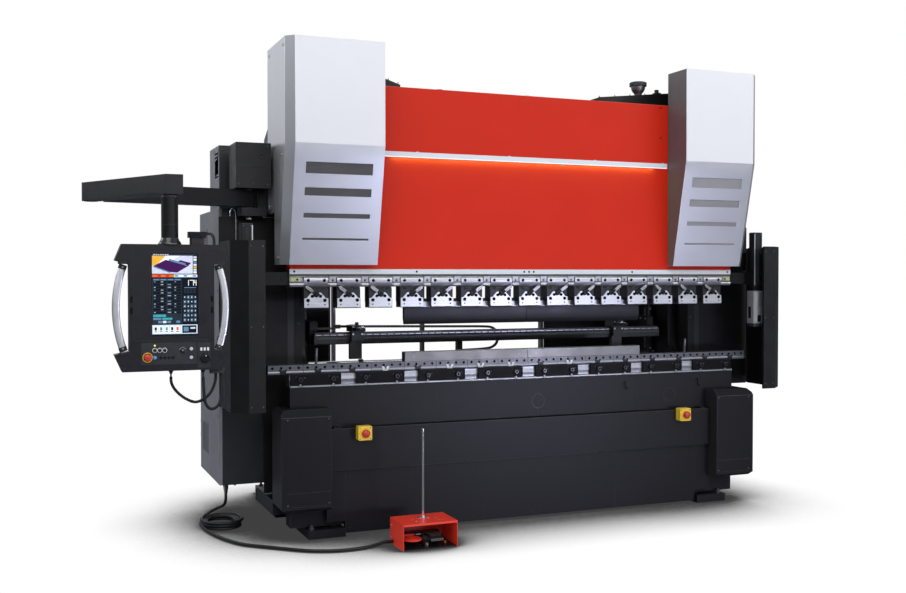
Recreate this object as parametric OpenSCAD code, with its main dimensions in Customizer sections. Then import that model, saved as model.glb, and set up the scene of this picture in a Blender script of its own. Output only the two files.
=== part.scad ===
// Hybrid press brake with swinging control pendant, side guards, back gauge
// and floor pedal. Millimetres, +X right, +Y to the back, +Z up.
// The origin is on the floor, in the middle of the four front anchor holes.
// The bending line runs along X at y = bend_y.

/* [Machine] */
// Height of the silver column covers
cover_top = 2903; // [2880:1:2920]
// Height of the top edge of the ram
ram_top = 2692; // [2680:1:2700]
// Clear distance between the two side plates
housing_gap = 2700; // [2690:2:2700]
// Thickness of each side plate
plate_t = 60; // [50:1:60]
// Throat depth behind the bending line
throat = 409; // [400:1:412]

/* [Tooling] */
// Distance from one tool holder to the next
holder_pitch = 200; // [198:1:200]
// Width of one tool holder
holder_w = 147; // [140:1:150]
// Height of the punch tip above the floor at rest
punch_tip = 1246; // [1244:1:1256]
// Height of the upper face of the dies
die_top = 1078; // [1070:1:1078]
// Half width of the V groove
vee_half = 6; // [4:1:8]

/* [Pendant] */
// Height of the underside of both swing arms
arm_z = 1955; // [1953:1:1957]
// Height of the arm section
arm_h = 100; // [95:1:100]
// Width of the arm section
arm_w = 90; // [86:1:92]

/* [Foot switch] */
// Height of the red foot switch hood
hood_h = 150; // [145:1:155]
// Height of the carrying rod above the floor
rod_top = 666; // [600:1:700]

/* [Hidden] */
$fn = 48;

charcoal = "#2a2a30";
black = "#17171a";
silver = "#b9bcc2";
steel = "#c6c8cc";
red = "#d2321f";
yellow = "#e8c21d";

bend_y = 15;
hx = housing_gap / 2;              // inner face of a side plate
ox = hx + plate_t;                 // outer face of a side plate
throat_y = bend_y + throat;
anchor_x = 1438;
anchor_y = 60;
lever_z = 1435;
lever_y = -54;
// vertical axes of the pendant arm
piv = [-1745, 205];
elb = [-2655, 10];
post = [-2320, -648];
door_hx = 1905;
door_hy = 250;

module at_sides() { for (s = [-1, 1]) scale([s, 1, 1]) children(); }
module both() { children(); mirror([1, 0, 0]) children(); }
// box from one corner to the other
module bx(a, b) { translate(a) cube([b[0] - a[0], b[1] - a[1], b[2] - a[2]]); }
// profile in Y and Z, extruded along X from x0 to x1
module yz(x0, x1, pts) {
  translate([x0, 0, 0]) rotate([90, 0, 90]) linear_extrude(x1 - x0) polygon(pts);
}
// profile in X and Z, extruded along Y from y0 to y1
module xz(y0, y1, pts) {
  translate([0, y1, 0]) rotate([90, 0, 0]) linear_extrude(y1 - y0) polygon(pts);
}
module ycyl(r, x, y0, y1, z) { translate([x, y1, z]) rotate([90, 0, 0]) cylinder(r = r, h = y1 - y0); }

// ---------- frame ----------
module machine_frame() {
  color(charcoal) {
    both() {
      // C shaped side plate with rounded throat
      difference() {
        yz(hx, ox, concat([[70, 45], [70, 960]],
          [for (a = [-90:15:0]) [throat_y - 130 + 130 * cos(a), 1090 + 130 * sin(a)]],
          [for (a = [0:15:75]) [throat_y - 230 + 230 * cos(a), 1390 + 230 * sin(a)]],
          [[66, 1690], [66, 2010], [126, 2010], [126, 2640], [260, 2740], [900, 2740],
          [1330, 2500], [1330, 45]]));
        // holes for lifting pins
        translate([hx - 1, 1180, 2420]) rotate([0, 90, 0]) cylinder(r = 40, h = plate_t + 2);
      }
      // cylinder seat with its hole
      difference() {
        bx([1300, -60, 2290], [hx + 110, 140, 2340]);
        translate([1380, bend_y, 2280]) cylinder(r = 72.3, h = 70);
      }
      // front foot plate and rear foot plate
      difference() {
        bx([1240, -104, 0], [1466, 251, 50]);
        for (y = [-anchor_y, anchor_y]) translate([anchor_x, y, -1]) cylinder(r = 11, h = 52);
      }
      difference() {
        bx([1240, 1120, 0], [1466, 1400, 50]);
        for (y = [1180, 1340]) translate([anchor_x, y, -1]) cylinder(r = 11, h = 52);
      }
      // plinth beside the foot of the plate
      bx([ox - 1, 535, 0], [1516, 1150, 84]);
      // linear guide of the back gauge on the inner face
      bx([hx - 60, 160, 900], [hx - 0.2, 1150, 930]);
      bx([hx - 40, 160, 930], [hx - 10, 1150, 944]);
    }
    // rear and lower cross members
    bx([-hx, 1230, 120], [hx, 1310, 520]);
    bx([-hx, 1230, 2060], [hx, 1310, 2420]);
    bx([-hx, 90, 120], [hx, 150, 620]);
  }
}

module lower_beam() {
  color(charcoal) yz(-1560, 1560, [[-40, 60], [70, 60], [70, 888], [-40, 888]]);
}

module front_panels() {
  color(charcoal) {
    difference() {
      bx([-1561, -46, 644], [1561, -40, 888]);
      for (x = [-1180, -240, 700]) ycyl(4, x, -50, -43, 700);
    }
    // shallow folded box across the middle
    difference() {
      bx([-1360, -100, 394], [1360, -40.5, 642]);
      bx([-1357, -97, 397], [1357, -40, 639]);
    }
    difference() {
      bx([-1235, -76, 14], [1235, -40.5, 392]);
      bx([-1232, -73, 17], [1232, -40, 389]);
    }
  }
}

module wedge_rail() {
  color(silver) yz(-1561, 1561, [[-50, 889], [60, 889], [60, 963], [-29, 963], [-29, 900], [-50, 900]]);
}

module die_rail() {
  // sixteen segments side by side, each with a row of screw holes
  color(steel) for (i = [0:15]) {
    x0 = -1685 + i * 210.7;
    difference() {
      yz(x0, x0 + 209.5, [[-20, 965], [-16, 963.2], [60, 963.2], [60, 1020], [-20, 1020]]);
      for (k = [0:3]) ycyl(3.5, x0 + 26 + k * 52.5, -21, -12, 1000);
      bx([x0 + 60, -21, 960], [x0 + 96, -8, 976]);
    }
  }
}

module dies() {
  color(steel) for (x0 = [-836, 1]) yz(x0, x0 + 835, [[-14, 1020.2], [44, 1020.2], [44, die_top],
    [bend_y + vee_half, die_top], [bend_y, die_top - vee_half * 1.7], [bend_y - vee_half, die_top], [-14, die_top]]);
}

module clamp_blocks() {
  for (i = [0:7]) {
    x0 = -1557 + i * 400;
    color(charcoal) difference() {
      bx([x0, -50, 900.3], [x0 + 306, -29.3, 970]);
      for (d = [57, 256]) ycyl(8, x0 + d, -51, -35, 936);
    }
    // clamping screws
    for (d = [57, 256]) color(black) difference() {
      union() {
        ycyl(13, x0 + d, -66, -50, 936);
        ycyl(8, x0 + d, -50, -35, 936);
      }
      translate([x0 + d, -66, 936]) rotate([90, 0, 0]) cylinder(r = 7, h = 16, center = true, $fn = 6);
    }
  }
}

// ---------- covers ----------
function cover_pts(d, z0, z1) = let (xi = 1040 + d, xo = 1623 - d, f = -251 + d, g = -101 + d, c = 48, b = 247)
  [[xi, g, z0], [xo - c, g, z0], [xo, g + c, z0], [xo, b, z0], [xi, b, z0],
   [xi, f, 2300], [xo - c, f, 2300], [xo, f + c, 2300], [xo, b, 2300], [xi, b, 2300],
   [xi, f, z1], [xo - c, f, z1], [xo, f + c, z1], [xo, b, z1], [xi, b, z1]];
cover_faces = [[4, 3, 2, 1, 0],
  [0, 1, 6, 5], [1, 2, 7, 6], [2, 3, 8, 7], [3, 4, 9, 8], [4, 0, 5, 9],
  [5, 6, 11, 10], [6, 7, 12, 11], [7, 8, 13, 12], [8, 9, 14, 13], [9, 5, 10, 14],
  [10, 11, 12, 13, 14]];

module column_covers() {
  color(silver) both() difference() {
    polyhedron(cover_pts(0, 1609, cover_top), [for (f = cover_faces) [for (i = [len(f) - 1:-1:0]) f[i]]], convexity = 6);
    polyhedron(cover_pts(4, 1609 - 10, cover_top - 4), [for (f = cover_faces) [for (i = [len(f) - 1:-1:0]) f[i]]], convexity = 6);
    // open back, and an inner side wall that ends at the ram
    bx([1000, 240, 1500], [1619, 260, cover_top - 4]);
    bx([1030, -34, 1500], [1200, 260, cover_top - 4]);
    // lower back corner of the outer wall cut away
    bx([1600, 70, 1500], [1640, 260, 1918]);
  }
}

module hydraulics() {
  // press cylinders, one above each end of the ram
  color("#5a5c62") both() difference() {
    union() {
      translate([1380, bend_y, 2340]) cylinder(r = 105, h = 500);
      translate([1380, bend_y, 2230]) cylinder(r = 100, h = 60);
      translate([1380, bend_y, 2289]) cylinder(r = 72, h = 52);
    }
    translate([1380, bend_y, 2229]) cylinder(r = 61, h = 113);
    translate([1380, bend_y, 2341]) cylinder(r = 80, h = 470);
  }
  color(black) {
    // servo motor and pump beside each cylinder
    both() {
      bx([1190, 300, 2440], [1349.8, 420, 2600]);
      translate([1270, 420.2, 2520]) rotate([-90, 0, 0]) cylinder(r = 78, h = 300);
    }
    // oil tank with lid
    bx([600, 128, 2500], [1150, 420, 2728]);
    bx([592, 122, 2728.2], [1158, 426, 2742]);
    // filler breather
    difference() {
      union() {
        translate([890, 170, 2742.2]) cylinder(r = 26, h = 50);
        translate([890, 170, 2792]) cylinder(r = 55, h = 52);
        translate([890, 170, 2844]) cylinder(r1 = 55, r2 = 44, h = 12);
      }
      translate([890, 170, 2780]) cylinder(r = 18, h = 60);
    }
    // valve block
    bx([1036, 140, 2742.2], [1080, 190, 2775]);
    translate([1058, 165, 2775]) cylinder(r = 14, h = 20);
    // stay behind the ram on the left
    bx([-905, 126, 2560], [-815, 150, 2740]);
    bx([-920, 150.2, 2200], [-800, 170, 2560]);
  }
  // carrier of tank and stay
  color(charcoal) {
    bx([-hx + 0.2, 170.2, 2240], [hx - 0.2, 230, 2330]);
    bx([600, 230.2, 2470], [1150, 420, 2499.8]);
    bx([700, 230.2, 2240], [760, 420, 2469.8]);
    bx([1000, 230.2, 2240], [1060, 420, 2469.8]);
  }
}

module side_covers() {
  color(charcoal) {
    both() difference() {
      intersection() {
        yz(1345, 1643, [[58, 179], [-157, 179], [-177, 199], [-177, 729], [-139, 771], [58, 771]]);
        xz(-180, 60, [[1345, 179], [1620, 179], [1643, 202], [1643, 746], [1618, 771], [1345, 771]]);
      }
      // folded sheet, open behind
      intersection() {
        yz(1348, 1640, [[61, 182], [-156, 182], [-174, 201], [-174, 728], [-137, 768], [61, 768]]);
        xz(-180, 66, [[1348, 182], [1618, 182], [1640, 204], [1640, 744], [1616, 768], [1348, 768]]);
      }
      // clear of the lower beam and of the middle front panel
      bx([1340, -47, 170], [1562, 72, 780]);
      bx([1340, -101, 390], [1362, 72, 646]);
    }
    // cable duct low on the left side, with a round end cap
    bx([-1643, 58.4, 128], [-1560, 500, 215]);
    translate([-1602, 500, 170]) rotate([-90, 0, 0]) cylinder(r = 24, h = 40);
  }
}

module guard_panels() {
  color(black) both() {
    bx([ox, 262, 760], [1912, 266, 1898]);
    // lower plate and a return flange that closes the throat
    bx([ox, 262, 220], [1650, 266, 761]);
    bx([ox + 0.3, 262, 940], [ox + 4, 440, 1640]);
    // carrier arms to the side plate
    for (z = [900, 1560]) bx([ox, 265, z], [1640, 286, z + 60]);
    // hinge ears and pins of the side doors
    for (z = [830, 1600]) {
      bx([door_hx - 12, 238, z - 12], [door_hx + 12, 262.5, z]);
      bx([door_hx - 12, 238, z + 100], [door_hx + 12, 262.5, z + 112]);
      translate([door_hx, door_hy, z - 6]) cylinder(r = 6, h = 112);
    }
  }
  // rear guard sheets beside the back gauge, with the posts that carry them
  color(black) {
    bx([-1340, 1170, 530], [-990, 1174, 2050]);
    bx([720, 1170, 530], [1340, 1174, 2050]);
    for (x = [-992, -954, -278, 700]) bx([x, 1173.8, 490], [x + 20, 1229.9, 2090]);
  }
}

module electrical_cabinet() {
  color(charcoal) difference() {
    union() {
      bx([-1893, 292, 280], [-1640, 1000, 1948]);
      // door hinge ears
      for (z = [500, 1690]) for (h = [-8, 80]) bx([-1910, 1000, z + h], [-1880, 1016, z + h + 8]);
    }
    bx([-1900, 300, 288], [-1648, 992, 1940]);
  }
  color(steel) for (z = [500, 1690]) translate([-1902, 1008, z - 4]) cylinder(r = 4, h = 88);
  // carriers to the side plate
  color(charcoal) for (z = [380, 1700]) bx([-1644, 500, z], [-ox, 560, z + 60]);
  // upper cabinet with louvre openings on the left side
  color(charcoal) difference() {
    bx([-1881, 440, 1948.2], [-1640, 770, 2345]);
    for (k = [0:6]) bx([-1890, 470, 2150 + k * 24], [-1874, 590, 2162 + k * 24]);
    bx([-1874, 447, 1955], [-1647, 763, 2338]);
  }
  // cable gland under the front corner
  color(black) {
    translate([-1870, 320, 255]) cylinder(r = 15, h = 24.8);
    translate([-1870, 320, 225]) cylinder(r1 = 10, r2 = 14, h = 30.2);
  }
}
module cabinet_door() {
  color("#6f7078") {
    difference() {
      bx([-1911, 292, 281], [-1894, 996, 1947]);
      bx([-1909, 294, 283], [-1890, 994, 1945]);
    }
    for (z = [500, 1690]) difference() {
      union() {
        translate([-1902, 1008, z + 0.5]) cylinder(r = 7, h = 79);
        bx([-1909, 995.5, z + 0.5], [-1901, 1006, z + 79.5]);
      }
      translate([-1902, 1008, z]) cylinder(r = 5, h = 80);
    }
    // turn latch
    bx([-1917, 320, 1080], [-1911, 340, 1180]);
  }
}

module arm_bracket() {
  color(black) {
    // upper cover box and lower bearing
    difference() {
      union() {
        bx([-1848, 80, arm_z + arm_h + 5], [-1640, 288, 2327]);
        bx([-1810, 150, arm_z - 55], [-1640, 262, arm_z - 5]);
        bx([-1700 + 20, 262, arm_z - 55], [-1640, 288, arm_z + arm_h + 6]);
      }
      translate([piv[0], piv[1], arm_z - 60]) cylinder(r = 20, h = 60);
      translate([piv[0], piv[1], arm_z + arm_h]) cylinder(r = 20, h = 60);
    }
    translate([piv[0], piv[1], arm_z - 55]) cylinder(r = 20, h = arm_h + 110);
    // carrier to the side plate
    bx([-1640, 266.2, arm_z - 55], [-ox, 286, arm_z + arm_h + 200]);
  }
}

module estop_boxes() {
  color(yellow) for (x = [-1134, 1110]) difference() {
    bx([x - 42, -152, 572], [x + 42, -100.2, 656]);
    ycyl(13.6, x, -153, -110, 614);
  }
}
module stop_button(x) {
  color(red) {
    ycyl(12.5, x, -160, -125, 614);
    ycyl(24, x, -178, -160, 614);
    translate([x, -178, 614]) rotate([90, 0, 0]) cylinder(r1 = 24, r2 = 17, h = 7);
  }
}
module stop_button_left() { stop_button(-1134); }
module stop_button_right() { stop_button(1110); }

// ---------- foot switch ----------
module foot_switch_hood() {
  color(red) difference() {
    bx([-1044, -570, 0], [-716, -337, hood_h]);
    bx([-1041, -571, -1], [-719, -340, hood_h - 3]);
    // carrying rod hole and two slots
    translate([-873, -423, hood_h - 10]) cylinder(r = 8.1, h = 20);
    for (x = [-925, -790]) bx([x - 28, -510, hood_h - 5], [x + 28, -504, hood_h + 1]);
    translate([-1050, -391, 20]) rotate([0, 90, 0]) cylinder(r = 11, h = 20);
  }
}
module foot_switch_base() {
  color(black) {
    bx([-1040.8, -560, 0], [-719.2, -340.2, 6]);
    // switch body behind the pedals
    bx([-1010, -395, 6], [-760, -345, 60]);
    // pedal bearings
    for (x = [-1003, -917, -874, -776]) difference() {
      bx([x - 4, -415, 6], [x + 4, -395, 62]);
      translate([x - 5, -406, 50]) rotate([0, 90, 0]) cylinder(r = 4, h = 10);
    }
    translate([-1007, -406, 50]) rotate([0, 90, 0]) cylinder(r = 4, h = 235);
  }
  color(steel) {
    translate([-873, -423, 138]) cylinder(r = 8, h = rod_top - 138);
    translate([-873, -423, 140]) cylinder(r = 14, h = 6.8);
    translate([-873, -423, hood_h + 0.2]) cylinder(r = 14, h = 9);
  }
  // strain relief of the cable
  color(black) translate([-1038, -391, 20]) rotate([0, -90, 0]) cylinder(r1 = 10.8, r2 = 9.4, h = 50);
}
module pedal_left() {
  color(red) {
    difference() {
      union() {
        translate([-998, -406, 50]) rotate([0, 90, 0]) cylinder(r = 8, h = 76);
        bx([-975, -470, 44], [-945, -402, 50]);
        translate([-960, -480, 40]) cylinder(r = 55, h = 10);
      }
      translate([-999, -406, 50]) rotate([0, 90, 0]) cylinder(r = 5, h = 78);
    }
  }
}
module pedal_right() {
  color(black) difference() {
    union() {
      translate([-869, -406, 50]) rotate([0, 90, 0]) cylinder(r = 8, h = 88);
      yz(-864, -786, [[-402, 42], [-402, 58], [-440, 64], [-500, 60], [-528, 48], [-534, 34], [-526, 34], [-500, 46], [-440, 50]]);
    }
    translate([-870, -406, 50]) rotate([0, 90, 0]) cylinder(r = 5, h = 90);
  }
}

// ---------- ram ----------
module ram_beam() {
  color(red) difference() {
    yz(-1556, 1556, [[-30, 1585], [60, 1585], [60, ram_top], [-30, ram_top]]);
    // upper corners cut away for the cylinders
    for (s = [0, 1]) mirror([s, 0, 0]) bx([1180, -40, 2190], [1600, 70, ram_top + 10]);
    // holes for the lifting eyes
    for (x = [-600, 600]) translate([x, 15, ram_top - 60]) cylinder(r = 12, h = 70);
  }
}
module light_bar() {
  color("white") difference() {
    bx([-1035, -36, 2268], [1035, -30.2, 2300]);
    bx([-1030, -33, 2262], [1030, -30, 2280]);
  }
}
module tool_rail() {
  color(silver) {
    bx([-1557, -26, 1479], [1557, 56, 1584.8]);
    // distance blocks between the holders
    for (i = [0:13]) bx([-1473 + i * holder_pitch + holder_w + 14, -34, 1496], [-1473 + (i + 1) * holder_pitch - 14, -26.2, 1538]);
    // scale strip
    difference() {
      bx([-1557, -31.5, 1555], [1557, -26.2, 1584.8]);
      for (x = [-1530, -765, 0, 765, 1530]) ycyl(4, x, -32, -29, 1570);
    }
  }
}
module holder_one(x) {
  translate([x, 0, 0]) {
    color(charcoal) difference() {
      bx([0, -30, 1386], [holder_w, 50, 1478.8]);
      // seat of the tool shank
      bx([-1, 7, 1380], [holder_w + 1, 23, 1406]);
      ycyl(7.2, holder_w / 2, -31, -12, lever_z);
    }
    // upper clamp plate with two screw holes
    color(steel) difference() {
      bx([0, -42, 1487], [holder_w, -26.3, 1538]);
      for (d = [30, holder_w - 30]) ycyl(7, d, -43, -36, 1518);
    }
    // lower clamp plate
    color(steel) xz(-42, -30.2, [[0, 1363], [holder_w, 1363], [holder_w, 1398], [holder_w - 30, 1428], [holder_w - 52, 1436],
      [holder_w - 56, 1418], [56, 1418], [52, 1436], [30, 1428], [0, 1398]]);
  }
}
module tool_holders() { for (i = [0:14]) holder_one(-1473 + i * holder_pitch); }

// clamping lever of holder i; open levers point to the left, closed ones to the right
module lever(i) {
  open = i <= 3 || i >= 13;
  x = -1473 + (i - 1) * holder_pitch + holder_w / 2;
  a = open ? 145 : 35;
  translate([x, lever_y, lever_z]) color(steel) {
    translate([0, 23, 0]) rotate([90, 0, 0]) cylinder(r = 12, h = 23);
    translate([0, 38, 0]) rotate([90, 0, 0]) cylinder(r = 6, h = 16);
    rotate([90, 0, 0]) rotate([0, 0, a]) translate([0, 0, -9]) linear_extrude(9)
      polygon([[0, -6], [62, -11], [78, -9], [82, -2], [80, 6], [64, 10], [0, 7]]);
  }
}
module lever_01() { lever(1); }
module lever_02() { lever(2); }
module lever_03() { lever(3); }
module lever_04() { lever(4); }
module lever_05() { lever(5); }
module lever_06() { lever(6); }
module lever_07() { lever(7); }
module lever_08() { lever(8); }
module lever_09() { lever(9); }
module lever_10() { lever(10); }
module lever_11() { lever(11); }
module lever_12() { lever(12); }
module lever_13() { lever(13); }
module lever_14() { lever(14); }
module lever_15() { lever(15); }

module punches() {
  color("#303239") for (x0 = [-836, 1]) yz(x0, x0 + 835, [[bend_y, punch_tip], [bend_y + 5, punch_tip + 8],
    [30, punch_tip + 40], [30, 1385.8], [22, 1385.8], [22, 1405], [8, 1405], [8, 1385.8], [0, 1385.8], [0, punch_tip + 30],
    [bend_y - 5, punch_tip + 8]]);
}
module cylinder_rods() {
  color(steel) both() {
    translate([1380, bend_y, 2190.2]) cylinder(r = 60, h = 420);
    translate([1380, bend_y, 2610.2]) cylinder(r = 78, h = 60);
    translate([1380, bend_y, 2190.2]) cylinder(r = 90, h = 30);
  }
}
module laser_one(x0) {
  // black upright, silver sensor head and bracket to the end of the tool rail
  bx([x0, -105, 1467], [x0 + 70, -45, 1845]);
  bx([x0 - 12, -122, 1192], [x0 + 76, -36, 1440]);
  bx([x0 + 10, -95, 1440], [x0 + 60, -50, 1467]);
  bx([x0 + 10, -45.5, 1486], [x0 + 62, 20, 1570]);
}
module laser_units() {
  color(black) {
    laser_one(1700);
    mirror([1, 0, 0]) laser_one(1785);
    bx([1557.2, -10, 1490], [1710.2, 20, 1566]);
    bx([-1795.2, -10, 1490], [-1557.2, 20, 1566]);
  }
}

// ---------- pendant ----------
function dir(a, b) = atan2(b[1] - a[1], b[0] - a[0]);
function dist(a, b) = sqrt((b[0] - a[0]) * (b[0] - a[0]) + (b[1] - a[1]) * (b[1] - a[1]));

module inner_arm() {
  L = dist(piv, elb);
  color(black) translate([piv[0], piv[1], arm_z]) rotate([0, 0, dir(piv, elb)]) difference() {
    union() {
      cylinder(r = arm_w / 2, h = arm_h);
      translate([0, -arm_w / 2, 0]) cube([L - 80, arm_w, arm_h]);
      translate([L - 90, -34, 30]) cube([90, 68, 40]);
      translate([L, 0, 30]) cylinder(r = 44, h = 40);
    }
    translate([0, 0, -1]) cylinder(r = 21, h = arm_h + 2);
    translate([L, 0, 0]) cylinder(r = 16, h = arm_h);
  }
}
module outer_arm() {
  L = dist(elb, post);
  a = dir(elb, post);
  color(charcoal) difference() {
    union() {
      translate([elb[0], elb[1], arm_z]) cylinder(r = 48, h = arm_h);
      translate([0, 0, arm_z]) linear_extrude(arm_h) polygon([[post[0] - 23, post[1] - 42], [post[0] + 62, post[1] - 42],
        [post[0] + 62, post[1] + 20], [elb[0] + 47.5 * sin(-a), elb[1] + 47.5 * cos(a)], [elb[0] - 47.5 * sin(-a), elb[1] - 47.5 * cos(a)]]);
    }
    // pocket for the tongue of the inner arm, over its whole swing
    translate([elb[0], elb[1], arm_z + 28]) {
      cylinder(r = 46.5, h = 44);
      rotate([0, 0, a + 62]) linear_extrude(44) polygon([[0, -36], [200, -36], [240, 120], [60, 230], [200 * cos(78) - 36 * sin(78), 200 * sin(78) + 36 * cos(78)], [-36 * sin(78), 36 * cos(78)]]);
    }
    translate([post[0], post[1], arm_z - 1]) cylinder(r = 21, h = arm_h - 10);
  }
  color(black) translate([elb[0], elb[1], arm_z + 20]) cylinder(r = 15, h = 60);
}

px0 = -2590; px1 = -2038;   // ears of the housing
module pendant_housing() {
  color("#34353e") {
    difference() {
      xz(-690, -612, [[-2557, 1703], [px0, 1622], [-2522, 1601], [-2522, 1170], [-2594, 1155], [-2556, 1068],
        [-2070, 1068], [-2036, 1153], [-2106, 1170], [-2106, 1601], [px1, 1622], [-2067, 1703]]);
      // window of the display and the operating strip
      bx([-2416, -691, 1243], [-2186, -684, 1660]);
      bx([-2466, -691, 1102], [-2194, -687, 1213]);
      bx([-2190, -691, 1080], [-2124, -687, 1210]);
      ycyl(10, -2436, -700, -640, 1138);
      ycyl(7, -2153, -700, -640, 1128);
      for (p = pend_btn) ycyl(6, p[0], -700, -650, p[1]);
    }
    // post, collar and bearing spigot
    translate([post[0], post[1], 1703]) cylinder(r = 57, h = 32);
    translate([post[0], post[1], 1735]) cylinder(r = 42, h = arm_z - 1735 - 3);
    translate([post[0], post[1], arm_z - 3]) cylinder(r = 20, h = 80);
    // bar code reader on its bracket
    bx([-2225, -668, 1703], [-2217, -640, 1738]);
    bx([-2160, -668, 1703], [-2152, -640, 1738]);
    bx([-2232, -690, 1738], [-2144, -630, 1768]);
    // cable connectors below
    bx([-2125, -665, 1046], [-2050, -635, 1068]);
    translate([-2158, -650, 1050]) cylinder(r1 = 4.5, r2 = 6, h = 18);
    translate([-2318, -650, 1050]) cylinder(r1 = 4.5, r2 = 6, h = 18);
  }
}
pend_btn = [[-2401, 1173], [-2377, 1173], [-2353, 1173], [-2401, 1137], [-2223, 1177], [-2223, 1134], [-2265, 1167]];
module pendant_screen() {
  color("#202a3a") bx([-2415.5, -688, 1243.5], [-2186.5, -684.2, 1659.5]);
  color(black) {
    difference() {
      bx([-2465.5, -690, 1102.5], [-2194.5, -687.2, 1212.5]);
      ycyl(12, -2436, -700, -680, 1138);
      for (p = pend_btn) ycyl(7, p[0], -700, -680, p[1]);
    }
    difference() {
      bx([-2189.5, -690, 1080.5], [-2124.5, -687.2, 1209.5]);
      ycyl(8, -2153, -700, -680, 1128);
    }
  }
}
module grip(s, x, zc) {
  // bowed flat grip, the ends inside the ears
  R = 640;
  translate([x, -655, zc]) rotate([90, 0, 0]) rotate([0, 0, s > 0 ? -19.4 : 180 - 19.4])
    rotate_extrude(angle = 38.8)
    polygon([[R - 19, -3], [R - 14, -8], [R + 14, -8], [R + 19, -3], [R + 19, 3], [R + 14, 8], [R - 14, 8], [R - 19, 3]]);
}
module pendant_handles() {
  color(silver) {
    grip(1, -2062 - 640 + 18, 1385);
    grip(-1, -2566 + 640 - 18, 1385);
  }
}
module pendant_stop() {
  color(red) {
    ycyl(9, -2436, -694, -650, 1138);
    ycyl(20, -2436, -712, -694, 1138);
  }
}
module jog_knob() {
  color(black) {
    ycyl(6, -2153, -694, -650, 1128);
    ycyl(24, -2153, -714, -694, 1128);
  }
}
module pendant_buttons() {
  color("#9fb4c8") for (p = pend_btn) {
    ycyl(5, p[0], -694, -670, p[1]);
    ycyl(9, p[0], -699, -694, p[1]);
  }
}

// ---------- cords ----------
// a smooth run through hand set points, n steps in each stretch
function cr(p, i, t) = let (a = p[max(i - 1, 0)], b = p[i], c = p[i + 1], d = p[min(i + 2, len(p) - 1)])
  0.5 * (2 * b + (c - a) * t + (2 * a - 5 * b + 4 * c - d) * t * t + (3 * b - a - 3 * c + d) * t * t * t);
function run(p, n) = [for (i = [0:len(p) - 2]) for (k = [0:n - 1]) cr(p, i, k / n), p[len(p) - 1]];
function unit(v) = v / norm(v);
function tang(q, i) = unit(q[min(i + 1, len(q) - 1)] - q[max(i - 1, 0)]);
function ref(t) = abs(t[2]) > 0.9 ? [0, 1, 0] : [0, 0, 1];
module tube(pts, r, n = 1, m = 8, up = undef) {
  q = run(pts, n);
  rings = [for (i = [0:len(q) - 1]) let (t = tang(q, i), g = is_undef(up) ? ref(t) : up, u = unit(cross(t, g)), v = cross(u, t))
    for (k = [0:m - 1]) q[i] + r * (cos(360 * k / m) * u + sin(360 * k / m) * v)];
  N = len(q);
  polyhedron(rings, concat([[for (k = [0:m - 1]) k]], [[for (k = [m - 1:-1:0]) (N - 1) * m + k]],
    [for (i = [0:N - 2]) for (k = [0:m - 1]) for (h = [0, 1]) h == 0
      ? [i * m + k, (i + 1) * m + k, (i + 1) * m + (k + 1) % m]
      : [i * m + k, (i + 1) * m + (k + 1) % m, i * m + (k + 1) % m]]), convexity = 10);
}
cord_r = 9;
cord_a = [[-1088.8, -391, 20], [-1100, -391, 20], [-1134, -397, 13], [-1180, -412, 10], [-1232, -428, 10], [-1310, -438, 10], [-1388, -433, 10],
  [-1460, -412, 10], [-1528, -380, 10], [-1595, -330, 10], [-1655, -276, 10], [-1720, -218, 10], [-1782, -162, 10],
  [-1850, -90, 10], [-1905, 20, 10], [-1944, 130, 10], [-1972, 250, 10], [-1986, 340, 10], [-1991, 410, 10]];
cord_b = [[-1990, 430, 47], [-1987, 460, 50], [-1970, 487, 62], [-1942, 493, 80], [-1915, 470, 100], [-1897, 432, 118],
  [-1884, 390, 134], [-1875, 352, 152], [-1871, 328, 175], [-1870, 320, 200], [-1870, 320, 224.4]];
module floor_cord() {
  color(black) {
    tube(cord_a, cord_r, 2);
    tube(cord_b, cord_r, 2, 8, [0.8, 0, -0.6]);
  }
}
module floor_cord_coil() {
  color(black) translate([-1872, 468, 1]) difference() {
    linear_extrude(54) hull() { translate([0, -50]) circle(r = 130); translate([0, 50]) circle(r = 130); }
    translate([0, 0, -1]) linear_extrude(60) hull() { translate([0, -50]) circle(r = 70); translate([0, 50]) circle(r = 70); }
  }
}
sty = [[-2318, -650, 1049], [-2318, -650, 1030], [-2316, -650, 1005], [-2302, -650, 975], [-2276, -650, 945], [-2240, -650, 918],
  [-2196, -650, 902], [-2150, -650, 918], [-2116, -650, 955], [-2098, -650, 1000], [-2094, -650, 1030], [-2094, -650, 1045.2]];
sty2 = [[-2158, -650, 1049], [-2157, -652, 1010], [-2156, -660, 960], [-2150, -668, 900], [-2128, -672, 868], [-2096, -670, 872],
  [-2074, -664, 905], [-2068, -656, 960], [-2069, -650, 1015], [-2069, -650, 1045.2]];
module stylus_cord() {
  color(black) {
    tube(sty, 8, 2, 8, [0, 1, 0]);
    tube(sty2, 8, 2, 8, [0, 1, 0]);
  }
}

// ---------- side doors ----------
module door() {
  color(charcoal) {
    translate([0, 0, 766]) linear_extrude(980) polygon([[1731, -176], [1826, -176], [1916, -98], [1916, 226],
      [1898, 226], [1898, -90], [1820, -158], [1731, -158]]);
    // hinge leaves and knuckles
    for (z = [830, 1600]) difference() {
      union() {
        bx([1898, 225, z + 2], [1916, 240, z + 98]);
        translate([door_hx, door_hy, z + 2]) cylinder(r = 11, h = 96);
      }
      translate([door_hx, door_hy, z]) cylinder(r = 7, h = 100);
    }
  }
}
module right_door() { door(); }
module left_door() { mirror([1, 0, 0]) door(); }

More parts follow.
